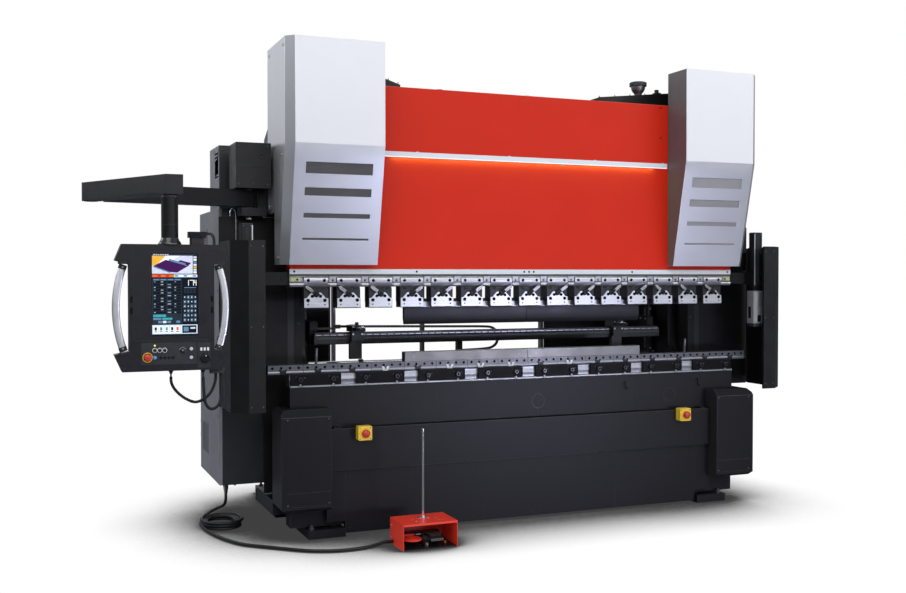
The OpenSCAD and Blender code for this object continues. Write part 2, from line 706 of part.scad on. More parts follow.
// ---------- back gauge ----------
module gauge_carriage() {
  color("#3a3c42") both() {
    bx([1292, 560, 946], [1348, 720, 986]);
    bx([1292, 600, 986], [1330, 680, 1330]);
  }
  // shaft that joins both sides, and the drive motor on the right
  color(steel) translate([-1293, 690, 966]) rotate([0, 90, 0]) cylinder(r = 12, h = 2586);
}
module gauge_beam() {
  color("#2c2d32") {
    bx([-1285, 440, 1104], [1285, 530, 1160]);
    both() bx([1240, 529, 1110], [1291.6, 640, 1250]);
  }
  color(steel) bx([-1280, 446, 1160.2], [1280, 476, 1182]);
}
module gauge_head(x) {
  color(black) {
    difference() {
      bx([x - 40, 400, 1120], [x + 40, 520, 1226]);
      bx([x - 41, 438, 1100], [x + 41, 532, 1184]);
    }
    bx([x - 30, 330, 1190], [x + 30, 400, 1214]);
    bx([x - 22, 300, 1196], [x + 22, 330, 1208]);
    bx([x - 50, 405, 1010], [x + 30, 437, 1120]);
  }
}
module gauge_head_left() { gauge_head(-1010); }
module gauge_head_right() { gauge_head(920); }

machine_frame();
lower_beam();
front_panels();
wedge_rail();
die_rail();
dies();
clamp_blocks();
column_covers();
hydraulics();
side_covers();
guard_panels();
electrical_cabinet();
cabinet_door();
arm_bracket();
estop_boxes();
foot_switch_hood();
foot_switch_base();
floor_cord();
floor_cord_coil();
ram_beam();
light_bar();
tool_rail();
tool_holders();
punches();
cylinder_rods();
laser_units();
lever_01();
lever_02();
lever_03();
lever_04();
lever_05();
lever_06();
lever_07();
lever_08();
lever_09();
lever_10();
lever_11();
lever_12();
lever_13();
lever_14();
lever_15();
inner_arm();
outer_arm();
pendant_housing();
pendant_screen();
pendant_handles();
pendant_stop();
jog_knob();
pendant_buttons();
stylus_cord();
left_door();
right_door();
stop_button_left();
stop_button_right();
gauge_carriage();
gauge_beam();
gauge_head_left();
gauge_head_right();
pedal_left();
pedal_right();
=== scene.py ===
# Looks of the hybrid press brake. Millimetre helpers, all pieces in the row frame.
import bpy, bmesh, math
from mathutils import Vector, Matrix
from mathutils.geometry import tessellate_polygon


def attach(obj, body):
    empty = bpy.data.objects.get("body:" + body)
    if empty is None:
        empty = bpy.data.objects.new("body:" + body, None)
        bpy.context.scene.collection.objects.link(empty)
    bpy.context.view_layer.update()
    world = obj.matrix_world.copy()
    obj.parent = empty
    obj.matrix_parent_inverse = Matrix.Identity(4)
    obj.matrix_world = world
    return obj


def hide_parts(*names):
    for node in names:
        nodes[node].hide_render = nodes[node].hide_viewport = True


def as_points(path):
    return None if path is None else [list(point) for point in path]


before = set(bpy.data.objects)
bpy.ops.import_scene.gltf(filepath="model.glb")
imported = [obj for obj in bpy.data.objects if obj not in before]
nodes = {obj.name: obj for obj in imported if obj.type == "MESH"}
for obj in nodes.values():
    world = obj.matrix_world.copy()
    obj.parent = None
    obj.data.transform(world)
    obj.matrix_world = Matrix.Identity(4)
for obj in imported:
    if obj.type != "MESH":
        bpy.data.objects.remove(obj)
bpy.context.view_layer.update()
scene = bpy.context.scene
K = 0.001
DEG = math.pi / 180

# ------------------------------------------------------------ camera
cam_data = bpy.data.cameras.new("camera")
cam = bpy.data.objects.new("camera", cam_data)
scene.collection.objects.link(cam)
cam.location = (-3.04348, -6.19236, 1.54758)
cam.rotation_euler = (88.868 * DEG, 0, -22.2335 * DEG)
cam_data.lens, cam_data.sensor_width = 42.56, 36
cam_data.clip_end = 200
scene.camera = cam

# ------------------------------------------------------------ node helpers
mats = {}


class Nodes:
    """A material's node tree, with short names for the nodes used here."""

    def __init__(self, name):
        self.mat = bpy.data.materials.new(name)
        self.mat.use_nodes = True
        self.t = self.mat.node_tree
        self.t.nodes.clear()
        self.out = self.t.nodes.new("ShaderNodeOutputMaterial")
        self.p = self.t.nodes.new("ShaderNodeBsdfPrincipled")
        self.t.links.new(self.p.outputs[0], self.out.inputs[0])
        self.co = self.t.nodes.new("ShaderNodeTexCoord").outputs["Object"]
        mats[name] = self.mat

    def link(self, a, b):
        self.t.links.new(a, b)

    def set(self, **kw):
        for k, v in kw.items():
            s = self.p.inputs[k.replace("_", " ")]
            if isinstance(v, (tuple, list)) and len(v) == 3 and s.type == "RGBA":
                v = (*v, 1)
            s.default_value = v
        return self

    def stretched(self, scale):
        m = self.t.nodes.new("ShaderNodeMapping")
        m.inputs["Scale"].default_value = scale
        self.link(self.co, m.inputs[0])
        return m.outputs[0]

    def noise(self, scale, detail=3, rough=0.55, co=None, distortion=0):
        n = self.t.nodes.new("ShaderNodeTexNoise")
        n.inputs["Scale"].default_value = scale
        n.inputs["Detail"].default_value = detail
        n.inputs["Roughness"].default_value = rough
        n.inputs["Distortion"].default_value = distortion
        self.link(co or self.co, n.inputs["Vector"])
        return n.outputs["Fac"]

    def ramp(self, fac, lo, hi, a=0.3, b=0.7):
        r = self.t.nodes.new("ShaderNodeMapRange")
        r.inputs["From Min"].default_value = a
        r.inputs["From Max"].default_value = b
        r.inputs["To Min"].default_value = lo
        r.inputs["To Max"].default_value = hi
        self.link(fac, r.inputs["Value"])
        return r.outputs[0]

    def math(self, op, a, b):
        m = self.t.nodes.new("ShaderNodeMath")
        m.operation = op
        for i, v in enumerate((a, b)):
            if isinstance(v, (int, float)):
                m.inputs[i].default_value = v
            else:
                self.link(v, m.inputs[i])
        return m.outputs[0]

    def mix(self, fac, a, b):
        m = self.t.nodes.new("ShaderNodeMix")
        m.data_type = "RGBA"
        if isinstance(fac, (int, float)):
            m.inputs[0].default_value = fac
        else:
            self.link(fac, m.inputs[0])
        for i, v in ((6, a), (7, b)):
            if isinstance(v, (tuple, list)):
                m.inputs[i].default_value = (*v, 1)
            else:
                self.link(v, m.inputs[i])
        return m.outputs[2]

    def bump(self, height, strength, dist, before=None):
        b = self.t.nodes.new("ShaderNodeBump")
        b.inputs["Strength"].default_value = strength
        b.inputs["Distance"].default_value = dist
        self.link(height, b.inputs["Height"])
        if before is not None:
            self.link(before, b.inputs["Normal"])
        self.link(b.outputs[0], self.p.inputs["Normal"])
        return b.outputs[0]

    def voronoi(self, scale, co=None, feature="F1"):
        v = self.t.nodes.new("ShaderNodeTexVoronoi")
        v.feature = feature
        v.inputs["Scale"].default_value = scale
        self.link(co or self.co, v.inputs["Vector"])
        return v.outputs["Distance"]


def mul(c, k):
    return tuple(min(1, x * k) for x in c)


def paint(name, col, rough=0.45, var=0.12, grain=700, gstr=0.25, spec=0.5, coat=0.0, metallic=0.0, dust=0.04, rvar=0.08):
    """Painted sheet metal: cloudy colour, dust, an orange peel or powder texture, and varied roughness."""
    n = Nodes(name)
    n.set(Metallic=metallic, Specular_IOR_Level=spec, Coat_Weight=coat, Coat_Roughness=0.12)
    cloud = n.noise(2.3, 4, 0.6)
    col2 = n.mix(n.ramp(cloud, 0, 1), mul(col, 1 - var), mul(col, 1 + var))
    speck = n.noise(240, 2, 0.6)
    col3 = n.mix(n.ramp(speck, 0, dust, 0.55, 0.8), col2, (0.5, 0.5, 0.5))
    n.link(col3, n.p.inputs["Base Color"])
    r = n.noise(14, 5, 0.6)
    n.link(n.ramp(r, rough - rvar, rough + rvar), n.p.inputs["Roughness"])
    n.bump(n.noise(grain, 2, 0.5), gstr, 0.0004)
    return n


def metal(name, col, rough=0.3, brush=(1, 1, 60), bstr=0.15, var=0.12, metallic=1.0, scale=30, rvar=0.08, stains=0.15):
    """Bare metal with a grinding direction: noise stretched along it moves the roughness, the colour and the bump."""
    n = Nodes(name)
    n.set(Metallic=metallic)
    co = n.stretched(brush)
    line = n.noise(scale, 4, 0.65, co)
    cloud = n.noise(7, 4, 0.6)
    c = n.mix(n.ramp(line, 0, 1), mul(col, 1 - var), mul(col, 1 + var))
    c = n.mix(n.ramp(cloud, 0, stains, 0.45, 0.75), c, mul(col, 0.45))
    n.link(c, n.p.inputs["Base Color"])
    mixed = n.math("ADD", n.ramp(line, -rvar, rvar), n.ramp(cloud, rough - 0.04, rough + 0.06))
    n.link(mixed, n.p.inputs["Roughness"])
    n.bump(line, bstr, 0.00015)
    return n


def plastic(name, col, rough=0.4, grain=900, gstr=0.2, var=0.08, spec=0.5, coat=0.0):
    n = Nodes(name)
    n.set(Specular_IOR_Level=spec, Coat_Weight=coat, Coat_Roughness=0.08)
    cloud = n.noise(9, 3, 0.6)
    c = n.mix(n.ramp(cloud, 0, 1), mul(col, 1 - var), mul(col, 1 + var))
    n.link(c, n.p.inputs["Base Color"])
    n.link(n.ramp(n.noise(40, 4, 0.6), rough - 0.06, rough + 0.08), n.p.inputs["Roughness"])
    n.bump(n.voronoi(grain), gstr, 0.0003)
    return n


def glow(name, col, strength, rough=0.15):
    """A lit part of a display or lamp under glass, with a faint pixel grid."""
    n = Nodes(name)
    n.set(Roughness=rough, Coat_Weight=0.6, Coat_Roughness=0.05, Emission_Strength=strength, Specular_IOR_Level=0.4)
    f = n.ramp(n.noise(90, 3, 0.6), 0, 1)
    c = n.mix(f, mul(col, 0.86), mul(col, 1.06))
    n.link(c, n.p.inputs["Emission Color"])
    n.link(n.mix(f, mul(col, 0.2), mul(col, 0.3)), n.p.inputs["Base Color"])
    return n


paint("charcoal", (0.0050, 0.0048, 0.0072), rough=0.41, spec=0.25, grain=900, gstr=0.35, dust=0.02, rvar=0.008)
metal("screw_dark", (0.11, 0.11, 0.12), rough=0.34, brush=(3, 3, 3), metallic=0.8, scale=90)
paint("charcoal_edge", (0.018, 0.018, 0.024), rough=0.34, spec=0.5, grain=900, gstr=0.2, dust=0.05)
paint("black_coat", (0.0040, 0.0040, 0.0050), rough=0.42, spec=0.34, grain=900, gstr=0.3, dust=0.02)
paint("black_edge", (0.012, 0.012, 0.015), rough=0.38, spec=0.4, grain=900, gstr=0.2, dust=0.04)
paint("grey_coat", (0.115, 0.115, 0.135), rough=0.5, spec=0.4, grain=800, gstr=0.3, dust=0.03)
paint("silver", (0.70, 0.71, 0.76), rough=0.36, metallic=0.85, grain=1300, gstr=0.12, var=0.02, dust=0.03, rvar=0.03)
# lighter, less metallic copy of silver for the covers' vertical fronts: painted light
paint("silver_lit_front", (0.75, 0.762, 0.81), rough=0.5, metallic=0.12, spec=0.3, grain=1300, gstr=0.12, var=0.01, dust=0.02, rvar=0.02)
paint("silver_edge", (0.84, 0.85, 0.88), rough=0.3, metallic=0.85, grain=1300, gstr=0.08, var=0.02, rvar=0.03)
paint("red", (0.56, 0.0195, 0.0055), rough=0.40, spec=0.13, coat=0.0, grain=420, gstr=0.14, var=0.03, dust=0.004, rvar=0.04)
paint("red_edge", (0.74, 0.06, 0.03), rough=0.32, spec=0.5, coat=0.25, grain=420, gstr=0.1, var=0.03)
paint("foot_red", (0.74, 0.040, 0.018), rough=0.42, spec=0.45, grain=520, gstr=0.3, var=0.05, dust=0.03)
paint("yellow", (0.72, 0.46, 0.02), rough=0.4, grain=900, gstr=0.15, var=0.04)
paint("white_plate", (0.72, 0.74, 0.76), rough=0.4, grain=900, gstr=0.08, var=0.03)
metal("ground", (0.52, 0.52, 0.55), rough=0.33, brush=(1, 8, 60))
metal("ground_v", (0.52, 0.52, 0.55), rough=0.33, brush=(60, 8, 1))
metal("bright", (0.74, 0.75, 0.78), rough=0.24, brush=(1, 8, 50), var=0.06, stains=0.06)
metal("satin", (0.62, 0.63, 0.66), rough=0.38, brush=(4, 4, 4), scale=120, var=0.06)
metal("chrome", (0.80, 0.81, 0.83), rough=0.09, brush=(1, 1, 40), bstr=0.03, var=0.03, rvar=0.03, stains=0.04)
metal("tool_dark", (0.0252, 0.0252, 0.0302), rough=0.38, brush=(1, 6, 40), metallic=0.7, var=0.18)
metal("black_oxide", (0.022, 0.022, 0.024), rough=0.36, brush=(3, 3, 3), metallic=0.6, var=0.2, scale=90)
metal("dull_steel", (0.30, 0.30, 0.32), rough=0.42, brush=(1, 6, 40), var=0.15)
metal("brass", (0.60, 0.43, 0.16), rough=0.32, brush=(4, 4, 4), scale=80)
plastic("shell", (0.0072, 0.0072, 0.0125), rough=0.40, grain=1100, gstr=0.25, spec=0.36)
# lighter plastic for the pendant shell's bevelled edges: painted highlight
plastic("shell_edge_highlight", (0.035, 0.036, 0.046), rough=0.34, grain=1100, gstr=0.1)
plastic("shell_dark", (0.006, 0.006, 0.008), rough=0.36, grain=1100, gstr=0.2)
plastic("gloss_black", (0.006, 0.006, 0.008), rough=0.16, grain=300, gstr=0.03, coat=0.5)
plastic("black_plastic", (0.012, 0.012, 0.014), rough=0.42, grain=900, gstr=0.25)
plastic("rubber", (0.0045, 0.0045, 0.0052), rough=0.5, grain=1400, gstr=0.35, spec=0.3)
plastic("red_button", (0.46, 0.022, 0.010), rough=0.36, grain=900, gstr=0.08, coat=0.2)
plastic("white_plastic", (0.72, 0.73, 0.75), rough=0.35, grain=900, gstr=0.08)
plastic("pale_button", (0.42, 0.48, 0.58), rough=0.3, grain=700, gstr=0.08, coat=0.3)
plastic("blue_button", (0.05, 0.28, 0.55), rough=0.3, grain=700, gstr=0.08, coat=0.3)
plastic("yellow_plastic", (0.75, 0.5, 0.03), rough=0.35, grain=900, gstr=0.12)
glow("led_white", (0.92, 0.95, 1.0), 1.15)
glow("scr_slate", (0.018, 0.028, 0.044), 1.0)
glow("scr_dark", (0.004, 0.006, 0.012), 1.0)
glow("scr_pale", (0.62, 0.66, 0.86), 1.0)
glow("scr_white", (0.95, 0.97, 1.0), 1.0)
glow("scr_gold", (0.80, 0.44, 0.06), 1.0)
glow("scr_purple", (0.050, 0.008, 0.090), 1.0)
glow("scr_orange", (0.85, 0.10, 0.02), 1.0)
glow("scr_blue", (0.12, 0.24, 0.38), 1.0)
glow("scr_digit", (0.34, 0.38, 0.42), 1.0)
glow("scr_key", (0.055, 0.095, 0.14), 1.0)
glow("scr_red", (0.45, 0.02, 0.01), 1.0)
glow("scr_amber", (0.60, 0.20, 0.03), 1.0)
glow("scr_cyan", (0.05, 0.36, 0.40), 1.0)
glow("scr_ice", (0.62, 0.76, 0.88), 1.0)
glow("orange_glow", (1.0, 0.25, 0.05), 1.6)
glow("led_yellow", (1.0, 0.75, 0.12), 1.5)


# ------------------------------------------------------------ mesh helpers
class Mb:
    """Collects faces in millimetres. Every face names its material."""

    def __init__(self):
        self.v, self.f, self.m, self.s = [], [], [], []
        self.M = None

    def p(self, pts):
        k = len(self.v)
        for q in pts:
            q = Vector(q)
            self.v.append(self.M @ q if self.M is not None else q)
        return k

    def face(self, idx, m, smooth=False):
        self.f.append(tuple(idx)); self.m.append(m); self.s.append(smooth)

    def box(self, a, b, m):
        x0, x1 = sorted((a[0], b[0])); y0, y1 = sorted((a[1], b[1])); z0, z1 = sorted((a[2], b[2]))
        k = self.p([(x0, y0, z0), (x1, y0, z0), (x1, y1, z0), (x0, y1, z0), (x0, y0, z1), (x1, y0, z1), (x1, y1, z1), (x0, y1, z1)])
        for q in ((3, 2, 1, 0), (4, 5, 6, 7), (0, 1, 5, 4), (1, 2, 6, 5), (2, 3, 7, 6), (3, 0, 4, 7)):
            self.face([k + i for i in q], m)
        return self

    def prism(self, poly, axis, t0, t1, m, holes=(), mside=None, mhole=None):
        """poly in the plane across axis: x -> (y, z), y -> (x, z), z -> (x, y)."""
        def at(q, t):
            return {"x": (t, q[0], q[1]), "y": (q[0], t, q[1]), "z": (q[0], q[1], t)}[axis]
        loops = [list(poly)] + [list(h) for h in holes]
        def area(l):
            return sum(l[i][0] * l[(i + 1) % len(l)][1] - l[(i + 1) % len(l)][0] * l[i][1] for i in range(len(l)))
        if area(loops[0]) < 0:
            loops[0].reverse()
        for h in loops[1:]:
            if area(h) > 0:
                h.reverse()
        flip = axis == "y"
        if t1 < t0:
            t0, t1 = t1, t0
        starts = []
        for l in loops:
            starts.append((self.p([at(q, t0) for q in l]), self.p([at(q, t1) for q in l])))
        if len(loops) == 1:
            n = len(loops[0]); a, b = starts[0]
            lo, hi = [a + i for i in range(n)], [b + i for i in range(n)]
            if flip:
                self.face(lo, m); self.face(hi[::-1], m)
            else:
                self.face(lo[::-1], m); self.face(hi, m)
        else:
            tris = tessellate_polygon([[Vector((q[0], q[1], 0)) for q in l] for l in loops])
            flat = [(li, i) for li, l in enumerate(loops) for i in range(len(l))]
            for t in tris:
                q = [loops[flat[i][0]][flat[i][1]] for i in t]
                s = (q[1][0] - q[0][0]) * (q[2][1] - q[0][1]) - (q[2][0] - q[0][0]) * (q[1][1] - q[0][1])
                if abs(s) < 1e-9:
                    continue
                if s < 0:
                    t = t[::-1]
                lo = [starts[flat[i][0]][0] + flat[i][1] for i in t]
                hi = [starts[flat[i][0]][1] + flat[i][1] for i in t]
                if flip:
                    self.face(lo, m); self.face(hi[::-1], m)
                else:
                    self.face(lo[::-1], m); self.face(hi, m)
        for li, l in enumerate(loops):
            a, b = starts[li]; n = len(l)
            mm = m if li == 0 else (mhole or m)
            if li == 0 and mside:
                mm = mside
            sm = n > 14
            for i in range(n):
                j = (i + 1) % n
                q = [a + i, a + j, b + j, b + i]
                self.face(q[::-1] if flip else q, mm, sm)
        return self

    def frame(self, axis):
        a = Vector(axis).normalized()
        u = a.orthogonal().normalized()
        if abs(a.z) > 0.9:
            u = Vector((1, 0, 0))
        elif abs(a.y) > 0.9 or abs(a.x) > 0.9:
            u = Vector((0, 0, 1))
        u = (u - a * u.dot(a)).normalized()
        return a, u, a.cross(u)

    def lathe(self, prof, o, axis, m, seg=24, inner=None, start=0.0, mat_of=None):
        """prof is a list of (radius, height along axis). A radius under 0.01 closes to a point."""
        a, u, w = self.frame(axis)
        o = Vector(o)
        rings = []
        for r, h in prof:
            c = o + a * h
            if r < 0.01:
                rings.append((self.p([c]), 1))
            else:
                rings.append((self.p([c + (u * math.cos(start + 2 * math.pi * i / seg) + w * math.sin(start + 2 * math.pi * i / seg)) * r for i in range(seg)]), seg))
        for k in range(len(rings) - 1):
            (p, n), (q, n2) = rings[k], rings[k + 1]
            mm = mat_of(k) if mat_of else m
            for i in range(seg):
                j = (i + 1) % seg
                if n == 1 and n2 == 1:
                    break
                if n == 1:
                    self.face((p, q + j, q + i)[::-1], mm, True)
                elif n2 == 1:
                    self.face((p + i, p + j, q), mm, True)
                else:
                    self.face((p + i, p + j, q + j, q + i), mm, True)
        return self

    def cyl(self, a, b, r, m, seg=24, r2=None, ch=0.0):
        """Closed cylinder or cone from point a to point b, with an optional chamfer."""
        a, b = Vector(a), Vector(b)
        L = (b - a).length
        r2 = r if r2 is None else r2
        prof = [(0, 0), (r - ch, 0)] + ([(r, ch)] if ch else []) + ([(r2, L - ch)] if ch else []) + [(r2 - ch, L), (0, L)]
        return self.lathe(prof, a, b - a, m, seg)

    def ring(self, a, b, ro, ri, m, seg=32, ch=0.0):
        """Tube with real wall from a to b."""
        a, b = Vector(a), Vector(b)
        L = (b - a).length
        prof = [(ri, ch), (ri + ch, 0), (ro - ch, 0), (ro, ch), (ro, L - ch), (ro - ch, L), (ri + ch, L), (ri, L - ch), (ri, ch)] if ch else [(ri, 0), (ro, 0), (ro, L), (ri, L), (ri, 0)]
        return self.lathe(prof, a, b - a, m, seg)

    def socket(self, o, axis, r, h, m, seg=24, hexr=None, depth=None, mh=None):
        """Socket head screw: knurl-free head with a chamfer and a hexagon recess. o lies on the seat."""
        hexr = hexr or r * 0.55
        depth = depth or h * 0.6
        a, u, w = self.frame(axis)
        o = Vector(o)
        def circ(rr, hh):
            return self.p([o + a * hh + (u * math.cos(2 * math.pi * i / seg) + w * math.sin(2 * math.pi * i / seg)) * rr for i in range(seg)])
        def hexa(rr, hh):
            pts = []
            for i in range(seg):
                t = 2 * math.pi * i / seg
                s = rr * math.cos(math.pi / 6) / math.cos((t + math.pi / 6) % (math.pi / 3) - math.pi / 6) if True else rr
                pts.append(o + a * hh + (u * math.cos(t) + w * math.sin(t)) * s)
            return self.p(pts)
        c = r * 0.12
        L = [(circ(r, 0), m, True), (circ(r, h - c), m, True), (circ(r - c, h), m, False), (hexa(hexr, h), m, False), (hexa(hexr, h - depth), mh or m, False)]
        for k in range(len(L) - 1):
            p, q = L[k][0], L[k + 1][0]
            for i in range(seg):
                j = (i + 1) % seg
                self.face((p + i, p + j, q + j, q + i), L[k + 1][1], k == 0)
        q = L[-1][0]
        self.face([q + i for i in range(seg)], mh or m)
        p = L[0][0]
        self.face([p + i for i in range(seg)][::-1], m)
        return self

    def hexbolt(self, o, axis, r, h, m, seg=6, washer=0.0, mw=None, turn=0.0):
        """Hexagon head with a chamfered top, on a washer."""
        if washer:
            self.ring(Vector(o), Vector(o) + Vector(axis).normalized() * washer, r * 1.45, r * 0.5, mw or m, 24)
        o = Vector(o) + Vector(axis).normalized() * washer
        self.lathe([(0, 0), (r, 0), (r, h * 0.82), (r * 0.86, h), (0, h)], o, axis, m, 6, start=turn)
        return self

    def domed(self, o, axis, r, h, m, seg=16, slot=True):
        """Low button head screw with a round dimple."""
        prof = [(r, 0), (r, h * 0.25)] + [(r * math.cos(t), h * (0.25 + 0.75 * math.sin(t))) for t in (0.35, 0.7, 1.05)]
        prof += [(r * 0.32, h), (r * 0.26, h * 0.5), (0, h * 0.5)]
        return self.lathe([(0, 0)] + prof, o, axis, m, seg)

    def tube(self, pts, r, m, seg=10, cap=True, closed=False, up=None, rfun=None):
        pts = [Vector(q) for q in pts]
        n = len(pts)
        tan = []
        for i in range(n):
            if closed:
                t = pts[(i + 1) % n] - pts[i - 1]
            else:
                t = pts[min(i + 1, n - 1)] - pts[max(i - 1, 0)]
            tan.append(t.normalized())
        u = (Vector(up) if up else tan[0].orthogonal()).normalized()
        rings = []
        for i in range(n):
            u = (u - tan[i] * u.dot(tan[i])).normalized()
            w = tan[i].cross(u)
            rr = rfun(i / (n - 1)) if rfun else r
            rings.append(self.p([pts[i] + (u * math.cos(2 * math.pi * k / seg) + w * math.sin(2 * math.pi * k / seg)) * rr for k in range(seg)]))
        for i in range(n if closed else n - 1):
            a, b = rings[i], rings[(i + 1) % n]
            for k in range(seg):
                j = (k + 1) % seg
                self.face((a + k, a + j, b + j, b + k), m, True)
        if cap and not closed:
            self.face([rings[0] + k for k in range(seg)][::-1], m)
            self.face([rings[-1] + k for k in range(seg)], m)
        return self

    def bar(self, pts, sec, m, up=(0, 0, 1), cap=True):
        """Sweeps the closed section sec [(a, b)...] along pts; b is along up."""
        pts = [Vector(q) for q in pts]
        n, s = len(pts), len(sec)
        rings = []
        for i in range(n):
            t = (pts[min(i + 1, n - 1)] - pts[max(i - 1, 0)]).normalized()
            z = (Vector(up) - t * Vector(up).dot(t)).normalized()
            x = t.cross(z)
            rings.append(self.p([pts[i] + x * q[0] + z * q[1] for q in sec]))
        for i in range(n - 1):
            a, b = rings[i], rings[i + 1]
            for k in range(s):
                j = (k + 1) % s
                self.face((a + k, b + k, b + j, a + j), m, s > 10)
        if cap:
            self.face([rings[0] + k for k in range(s)], m)
            self.face([rings[-1] + k for k in range(s)][::-1], m)
        return self


def rrect(x0, z0, x1, z1, r, n=4):
    """Rounded rectangle as a point list, counter-clockwise."""
    out = []
    for cx, cz, a0 in ((x1 - r, z0 + r, -90), (x1 - r, z1 - r, 0), (x0 + r, z1 - r, 90), (x0 + r, z0 + r, 180)):
        for k in range(n + 1):
            a = (a0 + 90 * k / n) * DEG
            out.append((cx + r * math.cos(a), cz + r * math.sin(a)))
    return out


def circle(x, z, r, n=16):
    return [(x + r * math.cos(2 * math.pi * i / n), z + r * math.sin(2 * math.pi * i / n)) for i in range(n)]


def smooth_run(p, n):
    """Catmull-Rom run through p, n steps in each stretch."""
    p = [Vector(q) for q in p]
    out = []
    for i in range(len(p) - 1):
        a, b, c, d = p[max(i - 1, 0)], p[i], p[i + 1], p[min(i + 2, len(p) - 1)]
        for k in range(n):
            t = k / n
            out.append(0.5 * (2 * b + (c - a) * t + (2 * a - 5 * b + 4 * c - d) * t * t + (3 * b - a - 3 * c + d) * t ** 3))
    out.append(p[-1])
    return out


def finish_mesh(obj, names, bevel=0.0, seg=2, edge=None, angle=32, solid=None):
    me = obj.data
    for nm in names:
        me.materials.append(mats[nm])
    if solid:
        s = obj.modifiers.new("wall", "SOLIDIFY")
        s.thickness, s.offset, s.use_even_offset = solid * K, -1, True
        s.thickness_clamp = 0
    if bevel:
        b = obj.modifiers.new("edges", "BEVEL")
        b.width, b.segments, b.limit_method, b.angle_limit = bevel * K, seg, "ANGLE", angle * DEG
        b.use_clamp_overlap, b.harden_normals = True, True
        b.miter_outer = "MITER_ARC" if seg > 1 else "MITER_SHARP"
        if edge:
            if edge not in names:
                me.materials.append(mats[edge])
                names.append(edge)
            b.material = names.index(edge)
    me.set_sharp_from_angle(angle=angle * DEG)


def mk(name, mb, body, bevel=0.0, seg=2, edge=None, replaces=(), solid=None, angle=32, weld=True):
    """Turns collected faces into a piece that rides on a body."""
    names = []
    for m in mb.m:
        if m not in names:
            names.append(m)
    me = bpy.data.meshes.new(name)
    me.from_pydata([(v[0] * K, v[1] * K, v[2] * K) for v in mb.v], [], mb.f)
    me.polygons.foreach_set("material_index", [names.index(m) for m in mb.m])
    me.polygons.foreach_set("use_smooth", [True] * len(mb.f))
    me.update()
    if weld:
        bm = bmesh.new(); bm.from_mesh(me)
        bmesh.ops.remove_doubles(bm, verts=bm.verts, dist=2e-6)
        if not solid:
            bmesh.ops.recalc_face_normals(bm, faces=bm.faces)
        bm.to_mesh(me); bm.free()
    me.validate()
    obj = bpy.data.objects.new(name, me)
    scene.collection.objects.link(obj)
    finish_mesh(obj, names, bevel, seg, edge, angle, solid)
    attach(obj, body)
    if replaces:
        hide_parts(*([replaces] if isinstance(replaces, str) else replaces))
    return obj


def clone(node, name, pick, body, bevel=1.5, seg=2, edge=None, extra=None, angle=32):
    """A copy of a CAD node as n-gons with bevelled edges. pick is a material name, or a function of a face's centre (mm) and normal."""
    src = nodes[node]
    bm = bmesh.new(); bm.from_mesh(src.data)
    bmesh.ops.remove_doubles(bm, verts=bm.verts, dist=1e-5)
    bmesh.ops.dissolve_limit(bm, angle_limit=0.4 * DEG, verts=bm.verts, edges=bm.edges)
    names = []
    for f in bm.faces:
        m = pick if isinstance(pick, str) else pick(f.calc_center_median() / K, f.normal)
        if m not in names:
            names.append(m)
        f.material_index = names.index(m)
        f.smooth = True
    if extra is not None:
        off = len(bm.verts)
        vs = [bm.verts.new(v * K) for v in extra.v]
        for idx, m in zip(extra.f, extra.m):
            if m not in names:
                names.append(m)
            try:
                f = bm.faces.new([vs[i] for i in idx])
            except ValueError:
                continue
            f.material_index = names.index(m); f.smooth = True
    me = bpy.data.meshes.new(name)
    bm.to_mesh(me); bm.free()
    for a in [a.name for a in me.attributes if a.name == "custom_normal"]:
        me.attributes.remove(me.attributes[a])
    obj = bpy.data.objects.new(name, me)
    scene.collection.objects.link(obj)
    finish_mesh(obj, names, bevel, seg, edge, angle)
    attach(obj, body)
    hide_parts(node)
    return obj


# ------------------------------------------------------------ cords
def curve_cord(name, pts, r, body, mat, res=6):
    cu = bpy.data.curves.new(name, "CURVE")
    cu.dimensions = "3D"
    cu.bevel_depth, cu.bevel_resolution, cu.resolution_u, cu.use_fill_caps = r * K, 4, res, True
    sp = cu.splines.new("BEZIER")
    sp.bezier_points.add(len(pts) - 1)
    for b, q in zip(sp.bezier_points, pts):
        b.co = Vector(q) * K
        b.handle_left_type = b.handle_right_type = "AUTO"
    cu.materials.append(mats[mat])
    obj = bpy.data.objects.new(name, cu)
    scene.collection.objects.link(obj)
    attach(obj, body)
    return obj


n = plastic("cable", (0.0035, 0.0035, 0.0042), rough=0.5, grain=1400, gstr=0.2)
CX, CY, HALF, ZA = -1872, 468, 50, 10


def stadium(t, r):
    """Point of the coil after t turns at radius r: up the left side, round the far end, down the right side, round the near end."""
    arc = math.pi * r
    per = 2 * arc + 4 * HALF
    s = (t % 1) * per
    if s < 2 * HALF:
        return CX - r, CY - HALF + s
    s -= 2 * HALF
    if s < arc:
        a = math.pi - s / r
        return CX + r * math.cos(a), CY + HALF + r * math.sin(a)
    s -= arc
    if s < 2 * HALF:
        return CX + r, CY + HALF - s
    s -= 2 * HALF
    a = -s / r
    return CX + r * math.cos(a), CY - HALF + r * math.sin(a)


def coil_at(t):
    r = 118 - 19 * t if t < 2 else 80 if t < 2.35 else min(118, 80 + 19 * (t - 2.35))
    z = ZA + 18.6 * max(0, min(1, (t - 2) / 0.35)) + 18.6 * max(0, min(1, (t - 4.22) / 0.42))
    x, y = stadium(t, r)
    return (x, y, z)


